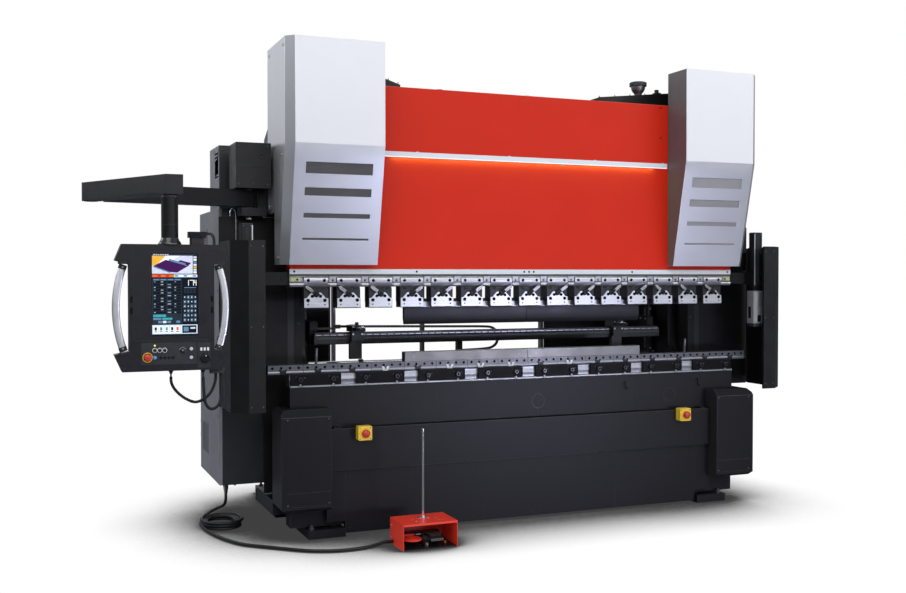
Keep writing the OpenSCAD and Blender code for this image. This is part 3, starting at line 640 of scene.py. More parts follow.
cord_a = [(-1088.8, -391, 20), (-1100, -391, 20), (-1134, -397, 13), (-1180, -412, 10), (-1232, -428, 10), (-1310, -438, 10), (-1388, -433, 10),
          (-1460, -412, 10), (-1528, -380, 10), (-1595, -330, 10), (-1655, -276, 10), (-1720, -218, 10), (-1782, -162, 10),
          (-1850, -90, 10), (-1905, 20, 10), (-1944, 130, 10), (-1972, 250, 10), (-1986, 340, 10)]
cord_b = [(-1987, 460, 50), (-1970, 487, 62), (-1942, 493, 80), (-1915, 470, 100), (-1897, 432, 118), (-1884, 390, 134),
          (-1875, 352, 152), (-1871, 328, 175), (-1870, 320, 200), (-1870, 320, 224.4)]
coil = [coil_at(0.02 + (4.98 - 0.02) * i / 90) for i in range(91)]
floor_cord = curve_cord("pedal_cable", cord_a + coil + cord_b, 9, "frame", "cable")
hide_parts("floor_cord", "floor_cord_coil")
sty_a = [(-2318, -650, 1049), (-2318, -650, 1030), (-2316, -650, 1005), (-2302, -650, 975), (-2276, -650, 945), (-2240, -650, 918),
         (-2196, -650, 902), (-2150, -650, 918), (-2116, -650, 955), (-2098, -650, 1000), (-2094, -650, 1030), (-2094, -650, 1045.2)]
sty_b = [(-2158, -650, 1049), (-2157, -652, 1010), (-2156, -660, 960), (-2150, -668, 900), (-2128, -672, 868), (-2096, -670, 872),
         (-2074, -664, 905), (-2068, -656, 960), (-2069, -650, 1015), (-2069, -650, 1045.2)]


def ribbed(name, pts, body):
    """Cable in a ribbed sleeve: a thin first stretch, then rings along the rest."""
    run = smooth_run(pts, 14)
    b = Mb()
    n = len(run)
    b.tube(run, 8, "rubber", 14, up=(0, 1, 0), rfun=lambda t: 4.2 if t < 0.07 else 7.9 - (1.5 if int(t * (n - 1)) % 3 == 0 else 0))
    o = mk(name, b, body, angle=60)
    return o, [tuple(q * K) for q in run]


cable_a, path_a = ribbed("pendant_cable_1", sty_a, "pendant")
cable_b, path_b = ribbed("pendant_cable_2", sty_b, "pendant")
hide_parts("stylus_cord")


def run_length(pts):
    return sum((Vector(pts[i + 1]) - Vector(pts[i])).length for i in range(len(pts) - 1)) * K


floor_run = run_length(cord_a + coil + cord_b)
run_length([Vector(q) / K for q in path_a])
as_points(path_a)
run_length([Vector(q) / K for q in path_b])
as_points(path_b)

# ------------------------------------------------------------ column covers
VENTS = [(2130, 2195), (2005, 2051), (1879, 1906), (1752, 1764)]


def column_cover(name, s, replace):
    """Folded sheet cover; s is 1 on the right and -1 on the left."""
    b = Mb()
    b.M = Matrix.Diagonal((s, 1, 1, 1))
    xi, xo, f, g, c, bk = 1040, 1623, -251, -101, 48, 247
    z0, zf, zt = 1609, 2300, 2903
    def sl(x, z):
        return (x, g + (f - g) * (z - z0) / (zf - z0), z)
    def quad(*q, m="silver"):
        k = b.p(q)
        idx = [k + i for i in range(len(q))]
        b.face(idx if s > 0 else idx[::-1], m)
    # slanted face as a grid, so that the louvre openings are real holes
    xs = [xi, 1107, 1507, xo - c]
    zs = [z0]
    for lo, hi in sorted(VENTS):
        zs += [lo, hi]
    zs.append(zf)
    for j in range(len(zs) - 1):
        hole = any(abs(zs[j] - lo) < 1 for lo, hi in VENTS)
        for i in range(3):
            if hole and i == 1:
                continue
            quad(sl(xs[i], zs[j]), sl(xs[i + 1], zs[j]), sl(xs[i + 1], zs[j + 1]), sl(xs[i], zs[j + 1]))
    # front faces in the lighter copy of silver, painted light
    for i in range(3):
        quad((xs[i], f, zf), (xs[i + 1], f, zf), (xs[i + 1], f, zt), (xs[i], f, zt), m="silver_lit_front")
    # chamfer
    for j in range(len(zs) - 1):
        a0, a1 = sl(xo - c, zs[j]), sl(xo - c, zs[j + 1])
        quad(a0, (xo, a0[1] + c, zs[j]), (xo, a1[1] + c, zs[j + 1]), a1)
    quad((xo - c, f, zf), (xo, f + c, zf), (xo, f + c, zt), (xo - c, f, zt))
    # outer side with its lower back corner cut away
    side = [(xo, g + c, z0), (xo, 70, z0), (xo, 70, 1918), (xo, bk, 1918), (xo, bk, zt), (xo, f + c, zt), (xo, f + c, zf)]
    for lo, hi in sorted(VENTS, reverse=True):
        side += [(xo, sl(xo, hi)[1] + c, hi), (xo, sl(xo, lo)[1] + c, lo)]
    quad(*side)
    # return flange at the back of the outer side
    quad((xo, bk, 1918), (xo - 28, bk, 1918), (xo - 28, bk, zt - 2), (xo, bk, zt - 2))
    # inner side, in a darker copy of the silver: painted shade
    inner = [(xi, -34, z0), (xi, g, z0)]
    for lo, hi in sorted(VENTS):
        inner += [sl(xi, lo), sl(xi, hi)]
    inner += [(xi, f, zf), (xi, f, zt), (xi, -34, zt), (xi, -34, 2000)]
    quad(*inner, m="cover_inner_shade")
    # top
    quad((xi, f, zt), (xs[1], f, zt), (xs[2], f, zt), (xo - c, f, zt), (xo, f + c, zt), (xo, bk, zt), (1250, bk, zt), (1058, -34, zt), (xi, -34, zt))
    o = mk(name, b, "frame", bevel=1.2, seg=2, solid=3.0, edge="silver_edge", replaces=replace)
    # louvre boxes behind the openings, fixing screws and seams
    d = Mb(); d.M = Matrix.Diagonal((s, 1, 1, 1))
    # louvres of the right cover are a lit pale copy, those of the left a shaded grey copy: painted light and shade
    for lo, hi in VENTS:
        n = max(2, round((hi - lo) / 7))
        ya, yb = sl(0, lo)[1], sl(0, hi)[1]
        # back plate
        k = d.p([(1104, ya + 9, lo - 2), (1510, ya + 9, lo - 2), (1510, yb + 9, hi + 2), (1104, yb + 9, hi + 2),
                 (1104, ya + 11, lo - 2), (1510, ya + 11, lo - 2), (1510, yb + 11, hi + 2), (1104, yb + 11, hi + 2)])
        for q in ((0, 1, 2, 3), (7, 6, 5, 4), (0, 4, 5, 1), (1, 5, 6, 2), (2, 6, 7, 3), (3, 7, 4, 0)):
            d.face([k + i for i in (q if s > 0 else q[::-1])], "vent_lit_pale" if s > 0 else "vent_shaded_grey")
        # slats
        for i in range(n):
            z = lo + (hi - lo) * (i + 0.5) / n
            y = sl(0, z)[1]
            k = d.p([(1107, y + 3.2, z + 1.6), (1507, y + 3.2, z + 1.6), (1507, y + 8.5, z - 1.4), (1107, y + 8.5, z - 1.4),
                     (1107, y + 3.2, z + 0.4), (1507, y + 3.2, z + 0.4), (1507, y + 8.5, z - 2.6), (1107, y + 8.5, z - 2.6)])
            for q in ((3, 2, 1, 0), (4, 5, 6, 7), (0, 1, 5, 4), (1, 2, 6, 5), (2, 3, 7, 6), (3, 0, 4, 7)):
                d.face([k + i for i in (q if s > 0 else q[::-1])], "vent_lit_pale" if s > 0 else "vent_shaded_grey")
    mk(name + "_louvres", d, "frame")
    e = Mb(); e.M = Matrix.Diagonal((s, 1, 1, 1))
    for y, z in ((-160, 2860), (200, 2860), (-120, 2240), (200, 2240), (200, 1960), (-20, 1650)):
        e.domed((xo + 0.2, y, z), (1, 0, 0), 7, 3.4, "satin")
        e.ring((xo - 0.5, y, z), (xo + 0.9, y, z), 10, 6, "dull_steel", 20)
    # seam strip of the two part outer side
    e.box((xo - 0.5, -54, 2298.5), (xo + 0.5, 247, 2300.5), "seam")
    e.box((xo - 0.5, 68.5, 1918), (xo + 0.5, 70.5, 2299), "seam")
    if s > 0:
        pass
    mk(name + "_screws", e, "frame")
    return o


# matte near-black: the colour of black wire, and painted shade in holes, grooves and recesses
paint("black_and_hole_shade", (0.0015, 0.0015, 0.002), rough=0.7, spec=0.1, grain=900, gstr=0.1)
# darker copy of the silver for the covers' inner sides: painted shade
paint("cover_inner_shade", (0.15, 0.14, 0.145), rough=0.5, metallic=0.3, grain=1300, gstr=0.1)
# lit and shaded copies of one louvre sheet: painted light and shade
paint("vent_shaded_grey", (0.16, 0.16, 0.17), rough=0.5, metallic=0.2, grain=900, gstr=0.2)
paint("vent_lit_pale", (0.46, 0.46, 0.50), rough=0.5, metallic=0.2, grain=900, gstr=0.2)
paint("seam", (0.10, 0.10, 0.11), rough=0.6, grain=900, gstr=0.2)
left_cover = column_cover("column_cover_left", -1, "column_covers")
right_cover = column_cover("column_cover_right", 1, ())

# ------------------------------------------------------------ ram
ram = Mb()
prof = [(-1556, 1585), (1556, 1585), (1556, 2190), (1180, 2190), (1180, 2692), (-1180, 2692), (-1180, 2190), (-1556, 2190)]
ram.prism(prof, "y", -30, 60, "red")
ram_obj = mk("ram_plate", ram, "ram", bevel=2.5, seg=3, edge="red_edge", replaces="ram_beam")
r2 = Mb()
for z in (2672, 2473):
    r2.domed((984, -30, z), (0, -1, 0), 6.5, 3, "black_oxide")
    r2.domed((-1100, -30, z), (0, -1, 0), 6.5, 3, "black_oxide")
# cover disc of a lifting hole, flush with the paint
r2.ring((-15, -29.8, 2633), (-15, -30.4, 2633), 62, 60.8, "red_seam", 64)
paint("red_seam", (0.33, 0.012, 0.004), rough=0.45, spec=0.15, grain=900, gstr=0.1)
for x in (-600, 600):
    r2.ring((x, 15, 2690), (x, 15, 2698), 26, 11, "black_oxide", 24, 1)
# stiffening rib at the back
r2.box((-1150, 60, 2630), (1150, 74, 2650), "red")
for x in (-900, -300, 300, 900):
    r2.box((x - 8, 60, 1700), (x + 8, 110, 2180), "red")
mk("ram_details", r2, "ram", bevel=0.8, seg=1)
# light bar: aluminium channel with an opal strip along its lower edge
lb = Mb()
sec = [(-36, 2271), (-30.2, 2271), (-30.2, 2300), (-33, 2300), (-36, 2297)]
lb.prism(sec, "x", -1035, 1035, "bright_paint")
lb.box((-1033, -35, 2266.5), (1033, -30.2, 2270.8), "led_white")
for x in (-760, -140, 480, 1000):
    lb.box((x - 9, -35.5, 2299.5), (x + 9, -31, 2303), "bright_paint")
# cable outlet in the middle, under the strip
lb.prism([(218, 2266), (262, 2266), (252, 2258), (228, 2258)], "y", -34, -30.2, "seam")
paint("bright_paint", (0.66, 0.70, 0.76), rough=0.5, spec=0.3, grain=1100, gstr=0.05, var=0.01, dust=0.0)
mk("light_strip", lb, "ram", bevel=0.6, seg=1, replaces="light_bar")

# ------------------------------------------------------------ tool rail, scale and distance blocks
tr = Mb()
# rail with a stepped front: deep face above, rounded lip below
rail_sec = [(56, 1479), (56, 1584.6), (-26, 1584.6), (-26, 1538), (-22, 1535), (-22, 1510), (-28, 1506), (-33, 1500), (-34, 1494), (-33, 1486), (-28, 1479)]
tr.prism([(q[0], q[1]) for q in rail_sec], "x", -1557, 1557, "ground")
mk("tool_rail_bar", tr, "ram", bevel=1.0, seg=2, replaces="tool_rail")
sc = Mb()
sc.box((-1557, -31.5, 1555), (1557, -26.2, 1584.6), "white_scale")
sc.box((-1557, -31.9, 1567), (1557, -31.3, 1573), "scale_tint")
for i in range(-155, 156):
    h = 5.5 if i % 10 == 0 else 3.6 if i % 5 == 0 else 2.2
    w = 0.55 if i % 10 == 0 else 0.35
    sc.box((i * 10 - w, -31.8, 1584.2 - h), (i * 10 + w, -31.3, 1584.2), "ink")
    if i % 5 == 0:
        sc.box((i * 10 - w, -31.8, 1555.4), (i * 10 + w, -31.3, 1555.4 + h * 0.7), "ink")
for x in (-1530, -765, -34, 0, 34, 765, 1530):
    sc.socket((x, -31.6, 1570), (0, -1, 0), 6.5, 2.2, "black_oxide", 16, mh="gloss_black")
paint("white_scale", (0.62, 0.64, 0.68), rough=0.34, grain=900, gstr=0.05, var=0.02)
paint("scale_tint", (0.55, 0.66, 0.76), rough=0.34, grain=900, gstr=0.05, var=0.03)
paint("ink", (0.05, 0.05, 0.06), rough=0.5, grain=900, gstr=0.05)
# dark strip in the recess between the scale and the clamp plates: painted shade
sc.box((-1556, -26.9, 1541), (1556, -25.9, 1554.6), "groove_shade_grey")
paint("groove_shade_grey", (0.055, 0.055, 0.062), rough=0.5, grain=900, gstr=0.1)
mk("scale_strip", sc, "ram", bevel=0.25, seg=1)
db = Mb()
for i in range(14):
    x0, x1 = -1473 + i * 200 + 147 + 5, -1473 + (i + 1) * 200 - 5
    db.prism([(x0, 1509), (x1, 1509), (x1, 1541), (x0, 1541)], "y", -40, -22.2, "rail_block", holes=[circle((x0 + x1) / 2, 1518, 6.5)])
    db.prism([(-22.2, 1481), (-38, 1481), (-41, 1485), (-42, 1492), (-41, 1500), (-38, 1505), (-22.2, 1507)], "x", x0 + 1, x1 - 1, "rail_block")
    db.socket(((x0 + x1) / 2, -34, 1518), (0, -1, 0), 5.6, 3, "black_oxide", 16, mh="gloss_black")
for sx in (-1, 1):
    x0, x1 = sorted((sx * 1552, sx * 1500))
    db.box((x0, -29, 1512), (x1, -22.2, 1536), "olive_plate")
    db.socket((sx * 1512, -29, 1522), (0, -1, 0), 6, 4, "black_oxide", 16, mh="gloss_black")
metal("rail_block", (0.42, 0.425, 0.45), rough=0.36, brush=(1, 6, 40), var=0.1)
paint("olive_plate", (0.40, 0.42, 0.22), rough=0.45, grain=900, gstr=0.1)
mk("distance_blocks", db, "ram", bevel=0.8, seg=2)

# ------------------------------------------------------------ tool holders
HW = 147
hd = Mb()
hp = Mb()
hs = Mb()
for i in range(15):
    X = -1473 + i * 200
    c = X + 73.5
    # forged body with bevelled cheeks that leave an hourglass between them
    hd.prism([(-30, 1388), (50, 1388), (50, 1478.6), (-24, 1478.6), (-24, 1470), (-30, 1462)], "x", X, X + HW, "holder_dark")
    hd.box((X + 1, -30, 1352), (X + HW - 1, -16, 1388.2), "holder_dark")
    hd.box((X + 1, 26, 1352), (X + HW - 1, 48, 1388.2), "holder_dark")
    for m in (1, -1):
        # raised cheeks left and right of the lever
        q = [(c - m * 72, 1400), (c - m * 72, 1472), (c - m * 62, 1472), (c - m * 24, 1438), (c - m * 24, 1428), (c - m * 40, 1420)]
        hd.prism(q, "y", -33, -29.8, "holder_dark")
        q = [(c - m * 54, 1476), (c - m * 16, 1476), (c - m * 16, 1456), (c - m * 26, 1450)]
        hd.prism(q, "y", -32, -29.8, "holder_dark")
        hd.socket((c - m * 37, -31.5, 1468), (0, -1, 0), 6.5, 2.5, "black_oxide", 16, mh="gloss_black")
    # upper clamp plate: level face above, slanted face below, rounded top
    sec = [(-26.3, 1485), (-33, 1485), (-43, 1506), (-43, 1530), (-40, 1535.5), (-34, 1538), (-26.3, 1538)]
    hp.prism(sec, "x", X, X + HW, "holder_bar")
    for m in (1, -1):
        hs.ring((c + m * 48.5, -42.6, 1517), (c + m * 48.5, -43.5, 1517), 11.5, 9.3, "ground", 24)
        # screw heads drawn in the black of painted hole shade
        hs.socket((c + m * 48.5, -43, 1517), (0, -1, 0), 9.4, 2.4, "black_and_hole_shade", 20, mh="black_and_hole_shade")
    # lower clamp plate with shoulders that rise to the lever hub
    cut = [(c + 19 * math.cos(a * DEG), 1436 + 19 * math.sin(a * DEG)) for a in range(28, -209, -18)]
    q = [(X, 1363), (X + HW, 1363), (X + HW, 1411), (X + HW - 16, 1413), (c + 34, 1440), (c + 30, 1444.5), (c + 20, 1446)] + cut + [(c - 20, 1446), (c - 30, 1444.5), (c - 34, 1440), (X + 16, 1413), (X, 1411)]
    hp.prism(q, "y", -42, -33.2, "holder_plate")
    hp.prism([(-33.2, 1363), (-33.2, 1352), (-38, 1352), (-43.2, 1357), (-43.2, 1383), (-41, 1385), (-41, 1363)], "x", X, X + HW, "holder_plate")
    for m in (1, -1):
        # screw heads drawn in the black of painted hole shade
        hs.socket((c + m * 51, -42, 1399.5), (0, -1, 0), 10.4, 4, "black_and_hole_shade", 20, mh="black_and_hole_shade")
        hs.socket((c + m * 25, -42, 1424), (0, -1, 0), 9.2, 5, "black_and_hole_shade", 20, mh="black_and_hole_shade")
        hs.socket((c + m * 51, -43.2, 1374), (0, -1, 0), 4.6, 0.8, "black_oxide", 12, mh="gloss_black")
metal("holder_bar", (0.47, 0.475, 0.505), rough=0.36, brush=(1, 6, 40), var=0.1)
metal("holder_plate", (0.68, 0.69, 0.72), rough=0.34, brush=(1, 6, 40), var=0.08, stains=0.1)
metal("holder_dark", (0.030, 0.030, 0.036), rough=0.34, brush=(3, 3, 3), metallic=0.55, var=0.25, scale=70)
paint("engraved", (0.12, 0.12, 0.13), rough=0.5, grain=900, gstr=0.05)
mk("holder_bodies", hd, "ram", bevel=1.3, seg=2, replaces="tool_holders")
mk("holder_plates", hp, "ram", bevel=1.4, seg=2)
mk("holder_screws", hs, "ram", bevel=0.0)
metal("lever_steel", (0.50, 0.50, 0.52), rough=0.28, brush=(30, 2, 30), var=0.12, scale=14)
for i in range(1, 16):
    opened = i <= 3 or i >= 13
    c = -1473 + (i - 1) * 200 + 73.5
    a = (145 if opened else 35) * DEG
    L = Mb()
    def lp(u, v):
        return (c + u * math.cos(a) - v * math.sin(a), 1435 + u * math.sin(a) + v * math.cos(a))
    out = [lp(*q) for q in [(2, -8), (60, -10.5), (77, -9), (81.5, -3), (79.5, 5), (64, 9.5), (2, 8)]]
    L.prism(out, "y", -53, -45.5, "lever_steel")
    fat = [lp(*q) for q in [(2, -8.5), (26, -9), (30, 0), (26, 9), (2, 8.5)]]
    L.prism(fat, "y", -54, -44, "black_oxide")
    rib = [lp(*q) for q in [(34, -4), (72, -5), (72, 4), (34, 4)]]
    L.prism(rib, "y", -54, -52.6, "lever_steel")
    L.cyl((c, -31.2, 1435), (c, -54, 1435), 14, "black_oxide", 24, ch=1.2)
    L.socket((c, -54, 1435), (0, -1, 0), 8.5, 1.6, "black_oxide", 18, mh="gloss_black")
    L.cyl((c, -16, 1435), (c, -31.4, 1435), 6, "satin", 16)
    mk("clamp_lever_%02d" % i, L, "lever_%02d" % i, bevel=1.0, seg=2, replaces="lever_%02d" % i)

# ------------------------------------------------------------ punches, rods
pu = Mb()
for x0 in (-836, 1):
    # shank and body with a relieved front and a fine tip
    sec = [(15, 1246), (16.2, 1246.6), (20, 1254), (30, 1286), (30, 1350), (28, 1352), (28, 1385.6), (22, 1385.6), (22, 1405), (8, 1405), (8, 1385.6), (2, 1385.6), (2, 1352), (0, 1350), (0, 1276), (10, 1254), (13.8, 1246.6)]
    pu.prism(sec, "x", x0, x0 + 835, "tool_dark")
    pu.box((x0 + 0.3, -0.6, 1352), (x0 + 834.7, 2.2, 1385), "ground")
    for k in range(3):
        pu.ring((x0 + 40 + k * 378, 0.2, 1372), (x0 + 40 + k * 378, -0.9, 1372), 5, 3.6, "dull_steel", 20)
mk("punch_bodies", pu, "ram", bevel=0.5, seg=1, replaces="punches")
rod = Mb()
for s in (-1, 1):
    rod.lathe([(0, 0), (88, 0), (90, 2), (90, 28), (88, 30), (60, 30), (60, 420), (0, 420)], (s * 1380, 15, 2190.2), (0, 0, 1), "chrome", 64,
              mat_of=lambda k: "black_oxide" if k < 5 else "chrome")
    for k in range(8):
        t = k * math.pi / 4
        rod.socket((s * 1380 + 74 * math.cos(t), 15 + 74 * math.sin(t), 2220.2), (0, 0, 1), 8, 8, "black_oxide", 14)
    rod.cyl((s * 1380, 15, 2610.2), (s * 1380, 15, 2670.2), 78, "dull_steel", 48, ch=2)
mk("piston_rods", rod, "ram", replaces="cylinder_rods")

# ------------------------------------------------------------ lower table: wedge rail, die rail, dies, clamp blocks
wr = Mb()
wr.prism([(-50, 889), (60, 889), (60, 963), (-29, 963), (-29, 940), (-31, 934), (-31, 926), (-29, 921), (-29, 900), (-46, 900), (-50, 896)], "x", -1561, 1561, "rail_plate0")
metal("rail_plate0", (0.36, 0.365, 0.39), rough=0.38, brush=(1, 6, 40), var=0.1)
# feet under the clamping screws
for i in range(8):
    for d in (57, 256):
        x = -1557 + i * 400 + d
        wr.box((x - 14, -54, 891), (x + 14, -45, 899), "dull_steel")
        wr.box((x - 6, -56, 896), (x + 6, -49, 908), "dull_steel")
mk("wedge_rail_bar", wr, "frame", bevel=1.2, seg=2, replaces="wedge_rail")
dr = Mb()
for i in range(16):
    x0 = -1685 + i * 210.7
    x1 = x0 + 209.3
    hx_ = [x0 + 26 + k * 52.5 for k in range(4)]
    # upper strip with a row of countersunk holes; their walls and the discs in them are black, painted shade
    dr.prism([(x0, 985), (x1, 985), (x1, 1018.5), (x1 - 1.5, 1020), (x0 + 1.5, 1020), (x0, 1018.5)], "y", -20, -6, "rail_steel", holes=[circle(q, 1003, 7.6, 16) for q in hx_], mhole="black_and_hole_shade")
    dr.box((x0, -6, 985), (x1, 60, 1020), "rail_steel")
    for q in hx_:
        dr.cyl((q, -5.8, 1003), (q, -9, 1003), 7.5, "black_and_hole_shade", 16)
    # lower lip, notched in the middle
    n0, n1 = x0 + 70, x0 + 108
    for a, b_ in ((x0, n0), (n1, x1)):
        dr.prism([(-6, 963.4), (-15.5, 963.4), (-20.5, 967), (-22, 973), (-22, 980), (-19.5, 985), (-6, 985)], "x", a, b_, "rail_lip")
    dr.box((x0, -6, 963.4), (x1, 60, 985.1), "rail_steel")
    dr.box((n0, -7, 963.4), (n1, -5.9, 985), "black_oxide")
    # clamp hook in the notch
    clampm = "bright_paint" if 3 <= i <= 9 and i not in (4, 8) else "black_oxide"
    dr.prism([(n0 - 5, 996), (n0 - 2, 984), (n0 + 4, 974), (n1 - 4, 974), (n1 + 2, 984), (n1 + 5, 996), (n1 - 8, 996), (n1 - 11, 988), (n0 + 11, 988), (n0 + 8, 996)], "y", -23.5, -19.9, clampm)
    dr.box((n0 + 2, -22, 966), (n1 - 2, -7, 980), clampm)
    dr.socket(((n0 + n1) / 2, -23.5, 984), (0, -1, 0), 5, 1.5, "black_oxide", 12)
metal("rail_steel", (0.135, 0.135, 0.146), rough=0.40, brush=(1, 6, 40), var=0.12)
metal("rail_lip", (0.24, 0.245, 0.27), rough=0.38, brush=(1, 6, 40), var=0.1)
mk("die_rail_segments", dr, "frame", bevel=0.7, seg=1, replaces="die_rail")
di = Mb()
for x0 in (-836, 1):
    sec = [(-14, 1020.2), (44, 1020.2), (44, 1076), (42, 1078), (21, 1078), (15, 1067.8), (9, 1078), (-12, 1078), (-14, 1076)]
    di.prism(sec, "x", x0, x0 + 835, "die_steel")
    for k in range(2):
        di.ring((x0 + 60 + 715 * k, -14, 1046), (x0 + 60 + 715 * k, -14.5, 1046), 6, 4, "dull_steel", 20)
metal("die_steel", (0.195, 0.190, 0.186), rough=0.4, brush=(1, 6, 40), var=0.14, stains=0.2)
mk("die_bodies", di, "frame", bevel=0.5, seg=1, replaces="dies")
cb = Mb()
cs = Mb()
for i in range(8):
    x0 = -1557 + i * 400
    cb.prism([(-29.4, 900.4), (-47, 900.4), (-50, 903), (-50, 967), (-47, 970), (-29.4, 970)], "x", x0, x0 + 306, "clamp_black")
    for d in (57, 256):
        x = x0 + d
        # black disc behind each clamp screw: painted shadow round its head
        cs.lathe([(0, 0), (15.5, 0), (15.5, 2.5), (13, 3)], (x, -50, 936), (0, -1, 0), "black_and_hole_shade", 24)
        cs.socket((x, -53, 936), (0, -1, 0), 14, 13, "clamp_screw", 28, hexr=7.5, mh="black_and_hole_shade")
        cs.domed((x + 26, -50, 944), (0, -1, 0), 5, 2, "charcoal_edge", 14)
        cs.domed((x - 24, -50, 950), (0, -1, 0), 4, 1.6, "charcoal_edge", 14)
paint("clamp_black", (0.0040, 0.0038, 0.0056), rough=0.45, spec=0.10, grain=900, gstr=0.3)
metal("rail_plate", (0.36, 0.365, 0.39), rough=0.38, brush=(1, 6, 40), var=0.1)
metal("clamp_screw", (0.05, 0.05, 0.055), rough=0.26, brush=(3, 3, 3), metallic=0.6, scale=80)
mk("clamp_block_bodies", cb, "frame", bevel=1.2, seg=2, edge="charcoal", replaces="clamp_blocks")
mk("clamp_block_screws", cs, "frame")

# ------------------------------------------------------------ front panels, stop boxes, side covers
fp = Mb()
fp.box((-1561, -46, 644), (1561, -40.3, 888), "charcoal")
fp.prism([(-1360, 394), (1360, 394), (1360, 642), (-1360, 642)], "y", -100, -97.2, "charcoal")
fp.box((-1360, -97.4, 394), (-1357, -40.6, 642), "charcoal"); fp.box((1357, -97.4, 394), (1360, -40.6, 642), "charcoal")
fp.box((-1357, -97.4, 639), (1357, -40.6, 642), "charcoal"); fp.box((-1357, -97.4, 394), (1357, -40.6, 397), "charcoal")
fp.box((-1235, -76, 14), (1235, -73, 392), "charcoal")
for x in (-1235, 1232):
    fp.box((x, -73.2, 14), (x + 3, -40.6, 392), "charcoal")
fp.box((-1232, -73.2, 389), (1232, -40.6, 392), "charcoal")
# ends of the lower panel, up to the side plates
for s in (-1, 1):
    a, b_ = sorted((s * 1233, s * 1349))
    fp.box((a, -76, 86), (b_, -70, 391.8), "charcoal")
mk("front_sheets", fp, "frame", bevel=1.5, seg=2, edge="charcoal_edge", replaces="front_panels")
fd = Mb()
# joints between the sheets
for x in (-640, 60, 760):
    fd.box((x - 1, -46.6, 646), (x + 1, -45.9, 886), "seam_dark")
for x in (-330, 610):
    fd.box((x - 1, -76.6, 18), (x + 1, -75.9, 388), "seam_dark")
for x in (-1180, -620, -240, 120, 480, 840, 1200):
    fd.domed((x, -46, 868), (0, -1, 0), 4.5, 1.8, "black_oxide", 14)
for x in (-1330, -900, -450, 0, 450, 900, 1330):
    for z in (406, 630):
        fd.domed((x, -100, z), (0, -1, 0), 4.5, 2, "black_oxide", 14)
for x in (-1205, -820, -410, 0, 410, 820, 1205):
    for z in (44, 362):
        fd.domed((x, -76, z), (0, -1, 0), 4.5, 2, "black_oxide", 14)
# covers of lifting holes, and two wire hooks for the rear of a tool
for x in (60, 1050):
    fd.ring((x, -45.8, 742), (x, -46.8, 742), 46, 44.5, "charcoal_edge", 48)
for x in (700, 1270):
    fd.tube(smooth_run([(x, -46, 842), (x, -58, 842), (x, -60, 830), (x + 1, -60, 806), (x + 6, -60, 794), (x + 14, -60, 796), (x + 18, -60, 806)], 4), 2.6, "black_and_hole_shade", 8)
# gusset brackets that carry the middle sheet
for x in (-1290, 1290):
    fd.box((x - 20, -96, 642), (x + 20, -46, 650), "charcoal")
paint("seam_dark", (0.004, 0.004, 0.005), rough=0.6, grain=900, gstr=0.1)
mk("front_details", fd, "frame", bevel=0.0)

eb = Mb()
for x in (-1134, 1110):
    eb.prism(rrect(x - 42, 572, x + 42, 656, 7), "y", -140, -100.4, "yellow_plastic")
    eb.prism(rrect(x - 42, 572, x + 42, 656, 7), "y", -152, -141, "yellow_plastic", holes=[circle(x, 614, 14.5, 24)])
    eb.box((x - 40, -141.2, 574), (x + 40, -139.8, 654), "seam_dark")
    eb.ring((x, -151.5, 614), (x, -153.6, 614), 30, 15, "yellow_plastic", 40, 0.8)
    for dx in (-33, 33):
        for z in (581, 647):
            eb.socket((x + dx, -152, z), (0, -1, 0), 3.6, 1.2, "screw_dark", 12)
    # short gland underneath
    eb.lathe([(0, 0), (9, 0), (9, 5), (7, 7), (7, 10), (0, 10)], (x, -118, 572), (0, 0, -1), "black_plastic", 18)
eb.box((-1091, -101, 566), (-1078, -100, 580), "white_plate")
mk("stop_boxes", eb, "frame", bevel=1.2, seg=2, replaces="estop_boxes")


def mushroom(x, y, z, body, name, replace, R=24, r=12.5, back=35, depth=25, mark=True):
    """Stop button: stem, collar and a domed head with a rim."""
    b = Mb()
    k = R / 24
    b.lathe([(0, -back), (r, -back), (r, 0), (R * 0.86, 0), (R, 2.5 * k), (R, 13 * k), (R * 0.97, 16 * k), (R * 0.88, 19.5 * k), (R * 0.7, 22.5 * k), (R * 0.45, 24.3 * k), (R * 0.2, 25 * k), (0, 25 * k)], (x, y, z), (0, -1, 0), "red_button", 48,
            mat_of=lambda q: "satin" if q < 2 else "red_button")
    if mark:
        b.ring((x, y - 23.6 * k, z), (x, y - 24.42 * k, z), R * 0.46, R * 0.40, "white_plastic", 32)
    return mk(name, b, body, replaces=replace, angle=50)


mushroom(-1134, -160, 614, "stop_button_left", "stop_left_head", "stop_button_left", mark=False)
mushroom(1110, -160, 614, "stop_button_right", "stop_right_head", "stop_button_right", mark=False)

# lower side covers
# lighter copy of charcoal for faces turned to the sides: painted light
paint("charcoal_side", (0.0170, 0.0165, 0.0205), rough=0.42, spec=0.4, grain=900, gstr=0.3, dust=0.03, rvar=0.01)


# side faces get the lighter charcoal, painted light
def side_pick(c, n):
    return "charcoal_side" if abs(n.x) > 0.6 else "charcoal"


sx = Mb()
for s in (-1, 1):
    # door in the front face: seams and screws
    a, b_ = sorted((s * 1352, s * 1612))
    sx.box((a, -177.6, 290), (b_, -176.9, 292), "seam_dark")
    sx.box((a - 4, -177.5, 291.8), (b_ + 4, -176.9, 293.2), "charcoal_edge")
    sx.box((a, -177.5, 212), (b_, -176.9, 213.6), "charcoal_edge")
    for z in (224, 716):
        for x in (1362, 1606):
            sx.domed((s * x, -177, z), (0, -1, 0), 4.5, 2, "screw_dark", 14)
    for y in (-140, 40):
        for z in (240, 480, 720):
            sx.domed((s * 1643, y, z), (s, 0, 0), 4.5, 2, "screw_dark", 14)
clone("side_covers", "side_cover_shells", side_pick, "frame", bevel=2.0, seg=2, edge="charcoal_edge")
mk("side_cover_details", sx, "frame")

